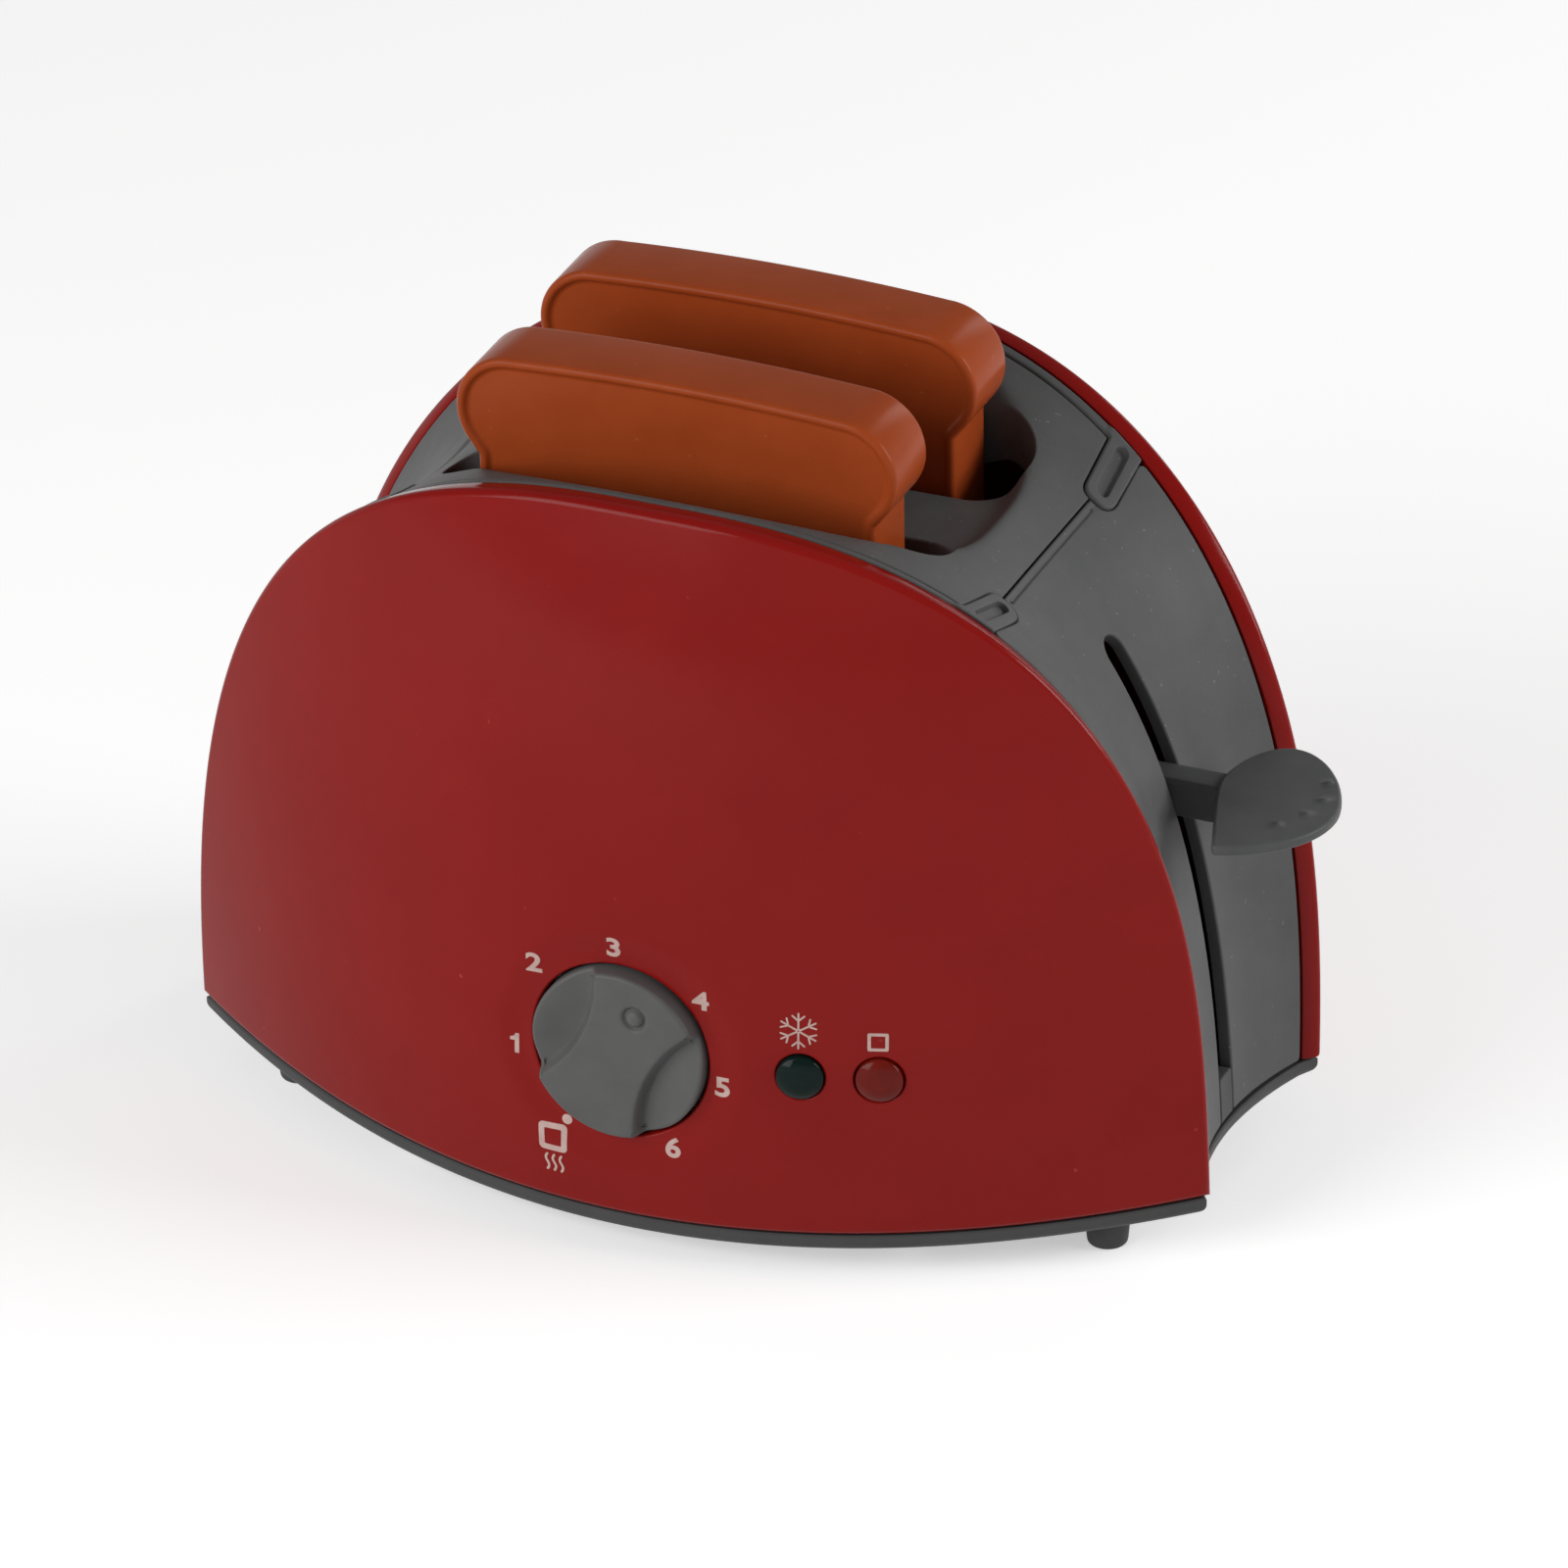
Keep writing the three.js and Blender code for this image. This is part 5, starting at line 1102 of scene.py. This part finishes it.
def paddle_place(x, y, depth):
    rise = 0
    for bump_x, bump_y in BUMP_SPOTS if depth == 0 else ():
        away = np.hypot(x - bump_x, y - bump_y) / BUMP_RADIUS
        rise = rise + BUMP_RISE * np.maximum(0, 1 - away ** 2)
    return at(x, y, PADDLE_TOP - depth + rise)


paddle_edge = fillet(0.7, 5)
paddle_profile = paddle_edge + [(inset, PADDLE_WALL - depth) for inset, depth in reversed(paddle_edge)]
bump_rings = [
    circle(*spot, BUMP_RADIUS * share, 14, False) for spot in BUMP_SPOTS for share in (1, 0.66, 0.33)]
lever = Solid().panel([(paddle_loop(), paddle_profile, None)], paddle_place, 1.2, 4.0, bump_rings)
web, flange = STEM_WIDTH / 2, STEM_WIDTH / 2 + STEM_FLANGE
foot_z, top_z = STEM_MIDDLE - STEM_HEIGHT / 2, STEM_MIDDLE + STEM_HEIGHT / 2
flange_z = top_z - STEM_FLANGE_DEPTH
stem_section = rounded([
    (-web, foot_z, 0.5), (web, foot_z, 0.5), (web, flange_z, 0.15), (flange, flange_z, 0.15),
    (flange, top_z, 0.35),
    (-flange, top_z, 0.35), (-flange, flange_z, 0.15), (-web, flange_z, 0.15)], 1.5)
lever.tube([at(x, *stem_section.T) for x in (STEM_INNER, PADDLE_TIP[0])])
finished("lever_with_paddle", lever, LEVER_GREY, ["lever"], "carriage")

# Dial

dial_face_y = -(face_depth(DIAL_X, DIAL_Z) + DIAL_PROUD)
dial_cos, dial_sin = cos(radians(POINTER_ANGLE)), sin(radians(POINTER_ANGLE))
grip_centre = GRIP_RADIUS + GRIP_HALF


def dial_place(x, z, depth):
    dx, dz = x - DIAL_X, z - DIAL_Z
    along, up = dx * dial_cos - dz * dial_sin, dx * dial_sin + dz * dial_cos
    sunk = 0
    for side in (-1, 1):
        within = GRIP_RADIUS - np.hypot(along - side * grip_centre, up)
        drop = GRIP_DEPTH * ease(0, GRIP_REACH, within)
        drop = drop - GRIP_RISE * ease(GRIP_REACH, DIAL_RADIUS - GRIP_HALF, within)
        sunk = sunk + np.where(within > 0, drop, 0)
    from_dot = np.hypot(along, up - POINTER_REACH)
    sunk = sunk + POINTER_DEPTH * np.exp(-((from_dot - POINTER_RADIUS) / POINTER_GROOVE) ** 2)
    sunk = sunk - POINTER_DOME * np.maximum(0, 1 - (from_dot / (POINTER_RADIUS - POINTER_GROOVE)) ** 2)
    return at(x, dial_face_y + depth + sunk * (depth <= DIAL_EDGE), z)


def on_dial(along, up):
    """Points of the face from their places along and up the turned pointer line."""
    return at(DIAL_X + along * dial_cos + up * dial_sin, DIAL_Z - along * dial_sin + up * dial_cos)


def scoop_loop(side, inset, rim):
    """The outline of a finger scoop moved inwards, closed along the rim."""
    radius = GRIP_RADIUS - inset
    cut = (rim ** 2 - radius ** 2 + grip_centre ** 2) / (2 * grip_centre)
    tall = sqrt(rim ** 2 - cut ** 2)
    spread, fan = atan2(tall, grip_centre - cut), atan2(tall, cut)
    turn, sweep = np.linspace(pi - spread, pi + spread, 40), np.linspace(-fan, fan, 24)[1:-1]
    along = np.hstack([grip_centre + radius * np.cos(turn), rim * np.cos(sweep)])
    return on_dial(side * along, np.hstack([radius * np.sin(turn), rim * np.sin(sweep)]))


dial_profile = fillet(DIAL_EDGE, 6) + [
    (0, GRIP_DEPTH + 1.2), (0, DIAL_THICKNESS - 0.3), (0.3, DIAL_THICKNESS)]
scoops = [scoop_loop(side, inset * GRIP_REACH, DIAL_RADIUS - DIAL_EDGE - 0.3 - inset * 0.5)
          for side in (-1, 1) for inset in (0.02, 0.25, 0.5, 0.75, 1)]
pointer = [circle(*on_dial(0, POINTER_REACH), POINTER_RADIUS + step * POINTER_GROOVE, 24, False)
           for step in (-1.6, -0.8, 0, 0.8, 1.6)]
dial = Solid().panel(
    [(circle(DIAL_X, DIAL_Z, DIAL_RADIUS, 160, False), dial_profile, None)],
    dial_place, 0.6, 4.0, scoops + pointer)
finished("dial_knob_cap", dial, DIAL_GREY, ["dial_knob"], "dial")

# Buttons

for button_name, x, end, look, slot in (
        ("defrost", BUTTON_SPOTS[0], PLUNGER_ENDS[0], GREEN, "green_button"),
        ("stop", BUTTON_SPOTS[1], PLUNGER_ENDS[1], CLEAR_RED, "red_button")):
    dome = [(BUTTON_RADIUS * t, -BUTTON_PROUD + BUTTON_DOME * t ** 3, 0) for t in (0, 0.25, 0.45, 0.62, 0.76)]
    cap = lathe(rounded_profile(dome + [
        (BUTTON_RADIUS, -BUTTON_PROUD + BUTTON_DOME, BUTTON_EDGE), (BUTTON_RADIUS, FLANGE_FRONT, 0),
        (FLANGE_RADIUS, FLANGE_FRONT, 0.2), (FLANGE_RADIUS, FLANGE_BACK, 0.2),
        (PLUNGER_RADIUS, FLANGE_BACK, 0),
        (PLUNGER_RADIUS, end, 0.2), (0, end, 0)]), 56, "y")
    finished(button_name + "_push_button", cap, look, [button_name + "_button"], button_name,
             BUTTON_PLACE @ move(x, 0, 0))

# Springs


def coil(radius, wire, turns, height):
    """A round-wire spring that stands on the origin."""
    angle = np.linspace(0, 2 * pi * turns, turns * 24 + 1)
    round_wire = np.arange(10) * pi / 5
    across, rise = radius + wire / 2 * np.cos(round_wire), wire / 2 * (1 + np.sin(round_wire))
    return Solid().tube([
        at(across * cos(a), across * sin(a), rise + (height - wire) * a / angle[-1])
        for a in angle])


def spring(name, size, height, matrix):
    """A spring along its matrix's upward axis."""
    piece = finished(
        name + "_coil", coil(*size, height), STEEL, [name + "_spring"], matrix=matrix)
    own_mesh(piece)


lift_foot, lift_top = (corner[2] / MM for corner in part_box("lift_spring"))
spring("lift", LIFT_COIL, lift_top - lift_foot,
       move(LIFT_ROD_X, 0, lift_foot))
for button_name, x in zip(("defrost", "stop"), BUTTON_SPOTS):
    coil_place = BUTTON_PLACE @ move(x, FLANGE_BACK + FIT / 2, 0) @ Matrix.Rotation(-pi / 2, 4, "X")
    spring(button_name, BUTTON_COIL, COIL_LENGTH, coil_place)

# Printed marks on the front face

front_place = cover_place(-1)


def printed(name, solid):
    """Flat marks in the plane of the face, wrapped onto it."""
    x, y, z = np.array(solid.points).T
    solid.points = [tuple(p) for p in front_place(x, z, -y)]
    finished(name, solid, PRINT)


def mark(solid, loops):
    """A thin raised sheet inside closed outlines of x and z."""
    flat, triangles = triangulate(loops, 0.6)
    heights = PRINT_RISE, PRINT_RISE - PRINT_THICKNESS
    top, low = (solid.add(at(flat[:, 0], height, flat[:, 1])) for height in heights)
    solid.faces += [tuple(top[i] for i in face) for face in triangles]
    solid.faces += [tuple(low[i] for i in reversed(face)) for face in triangles]
    start = 0
    for loop in loops:
        end = start + len(loop)
        solid.bridge(top[start:end], low[start:end])
        start = end


def stroke(points, width):
    """The outline of a line with round ends."""
    points = np.array(points, float)
    ahead = unit(np.gradient(points, axis=0))
    left = to_left(ahead) * width / 2
    turn = np.linspace(-pi / 2, pi / 2, 7)[1:-1]

    def end(centre, direction):
        base = atan2(direction[1], direction[0])
        return at(centre[0] + width / 2 * np.cos(base + turn), centre[1] + width / 2 * np.sin(base + turn))

    return np.vstack([
        points - left, end(points[-1], ahead[-1]), (points + left)[::-1], end(points[0], -ahead[0])])


def numeral(text, x, z):
    """A digit of the built-in font as a thin printed piece."""
    curve = bpy.data.curves.new("digit_" + text, "FONT")
    curve.body = text
    curve.size = 1
    curve.align_x = "CENTER"
    curve.offset = NUMERAL_WEIGHT
    curve.extrude = 1
    curve.resolution_u = 6
    digit = new_object("digit_" + text, curve)
    bpy.context.view_layer.update()
    flat = digit.evaluated_get(bpy.context.evaluated_depsgraph_get()).to_mesh()
    points = np.array([tuple(v.co) for v in flat.vertices])
    faces = [tuple(p.vertices) for p in flat.polygons]
    digit.to_mesh_clear()
    bpy.data.objects.remove(digit)
    bpy.data.curves.remove(curve)
    low, high = points.min(0), points.max(0)
    scale = NUMERAL_HEIGHT / (high[1] - low[1])
    middle = (low + high) / 2
    rise = np.where(points[:, 2] > middle[2], PRINT_RISE, PRINT_RISE - PRINT_THICKNESS)
    across = (points[:, 0] - middle[0]) * scale * NUMERAL_WIDENING
    solid = Solid()
    solid.add(at(x + across, rise, z + (points[:, 1] - middle[1]) * scale))
    solid.faces = faces
    printed("numeral_" + text, solid)


for text, x, z in (
        ("2", -15.4, 53.0), ("3", -0.4, 59.2), ("4", 15.3, 51.9), ("5", 19.1, 35.8), ("6", 10.2, 22.6)):
    numeral(text, x, z)
one = Solid()
mark(one, [np.array([-19.4, 36.4]) + np.array([
    (0.05, -1.87), (0.85, -1.87), (0.85, 1.87), (0.2, 1.87),
    (-0.1, 1.3), (-0.8, 1.1), (-0.8, 0.5), (0.05, 0.5)])])
printed("numeral_1", one)


def frame_mark(solid, cx, cz, outer, inner):
    """A square outline; outer and inner are (half width, corner radius)."""
    loops = [rounded([(cx + a * half, cz + b * half, corner) for a, b in SQUARE], 0.35)
             for half, corner in (outer, inner)]
    mark(solid, [loops[0], loops[1][::-1]])


reheat = Solid()
frame_mark(reheat, -12.14, 20.0, (2.7, 0.9), (1.6, 0.25))
mark(reheat, [circle(-9.5, 23.9, 0.95, 20, False)])
for k in (-1, 0, 1):
    height = np.linspace(16.4, 13.4, 14)
    wave = -12.0 + k * 1.35 + 0.3 * np.sin((height - 13.4) / 3 * 2 * pi)
    mark(reheat, [stroke(at(wave, height), 0.45)])
printed("reheat_symbol", reheat)

flake = Solid()
centre = np.array([32.23, 48.3])
for k in range(6):
    angle = pi / 2 + k * pi / 3
    out = np.array([cos(angle), sin(angle)])
    side_way = np.array([-out[1], out[0]])
    mark(flake, [stroke([centre + out * t for t in np.linspace(0.3, 3.3, 6)], 0.32)])
    for sign in (-1, 1):
        twig = [centre + out * mix(2.1, 2.85, t) + side_way * sign * mix(0.2, 1.0, t)
                for t in np.linspace(0, 1, 4)]
        mark(flake, [stroke(twig, 0.3)])
printed("defrost_symbol", flake)

stop_mark = Solid()
frame_mark(stop_mark, 45.2, 46.8, (1.7, 0.3), (1.15, 0.12))
printed("stop_symbol", stop_mark)

# Floor, backdrop and light


def seen_share(tree, low, high):
    """A strength that is high where the camera, a glossy or a clear surface looks, and low for soft light."""
    path = add_node(tree, "LightPath")
    total = path.outputs["Is Camera Ray"]
    for ray in ("Is Glossy Ray", "Is Transmission Ray"):
        total = add_node(tree, "Math", {0: total, 1: path.outputs[ray]}, operation="MAXIMUM").outputs[0]
    return add_node(tree, "MapRange", {"Value": total, "To Min": low, "To Max": high}).outputs["Result"]


# A pale floor that looks white where it is lit, and keeps the object's shadow
FLOOR_HALF = 4.0
floor_look, floor_tree, floor_shader = new_material("studio_floor_white")
set_inputs(floor_tree, floor_shader, {
    "Base Color": (0.8, 0.8, 0.8, 1), "Roughness": 0.9, "Specular IOR Level": 0,
    "Emission Color": (1, 1, 1, 1),
    "Emission Strength": seen_share(floor_tree, 0, 0.46)})
floor_mesh = bpy.data.meshes.new("studio_floor")
floor_mesh.from_pydata([(a * FLOOR_HALF, b * FLOOR_HALF, 0) for a, b in SQUARE], [], [(0, 1, 2, 3)])
floor_mesh.materials.append(floor_look)
new_object("studio_floor", floor_mesh)

world = bpy.data.worlds.new("studio_world")
bpy.context.scene.world = world
world.use_nodes = True
sky = world.node_tree
sky_height = add_node(sky, "SeparateXYZ", {"Vector": add_node(sky, "TexCoord").outputs["Generated"]})
sky_shade = add_node(sky, "MapRange", {
    "Value": sky_height.outputs["Z"], "From Min": 0.08, "From Max": 0.34, "To Min": 1.0, "To Max": 0.3})
set_inputs(sky, sky.nodes["Background"], {
    "Color": sky_shade.outputs["Result"], "Strength": seen_share(sky, 0.55, 1.0)})


def soft_light(name, place, target, size, power):
    data = bpy.data.lights.new(name, "AREA")
    data.shape = "RECTANGLE"
    data.size, data.size_y = size
    data.energy = power
    lamp = new_object(name, data)
    lamp.location = place
    lamp.rotation_euler = (Vector(target) - Vector(place)).to_track_quat("-Z", "Y").to_euler()


soft_light("right_light", (1.3, 0.35, 0.66), (0, 0, 0.06), (0.8, 0.6), 13)
soft_light("front_light", (-0.6, -1.05, 0.62), (0, 0, 0.06), (1.0, 0.8), 12)
soft_light("rear_strip", (0.42, 1.2, 0.62), (0, 0, 0.1), (0.2, 0.6), 1.4)

# Camera

azimuth, elevation, roll = (radians(a) for a in (CAMERA_AZIMUTH, CAMERA_ELEVATION, CAMERA_ROLL))
back = Vector((sin(azimuth) * cos(elevation), -cos(azimuth) * cos(elevation), sin(elevation)))
right = (-back).cross(Vector((0, 0, 1))).normalized()
up = right.cross(-back)
turned_right = right * cos(roll) + up * sin(roll)
turned_up = up * cos(roll) - right * sin(roll)
camera_data = bpy.data.cameras.new("photo_camera")
camera_data.lens = CAMERA_LENS
camera_data.clip_end = 20
camera = new_object("photo_camera", camera_data)
spot = Vector(to_row(np.array(CAMERA_TARGET))) + back * CAMERA_DISTANCE * MM
pose = Matrix((turned_right, turned_up, back)).transposed().to_4x4()
camera.matrix_world = move(*spot) @ pose
bpy.context.scene.camera = camera
bpy.context.scene.view_settings.view_transform = "Standard"
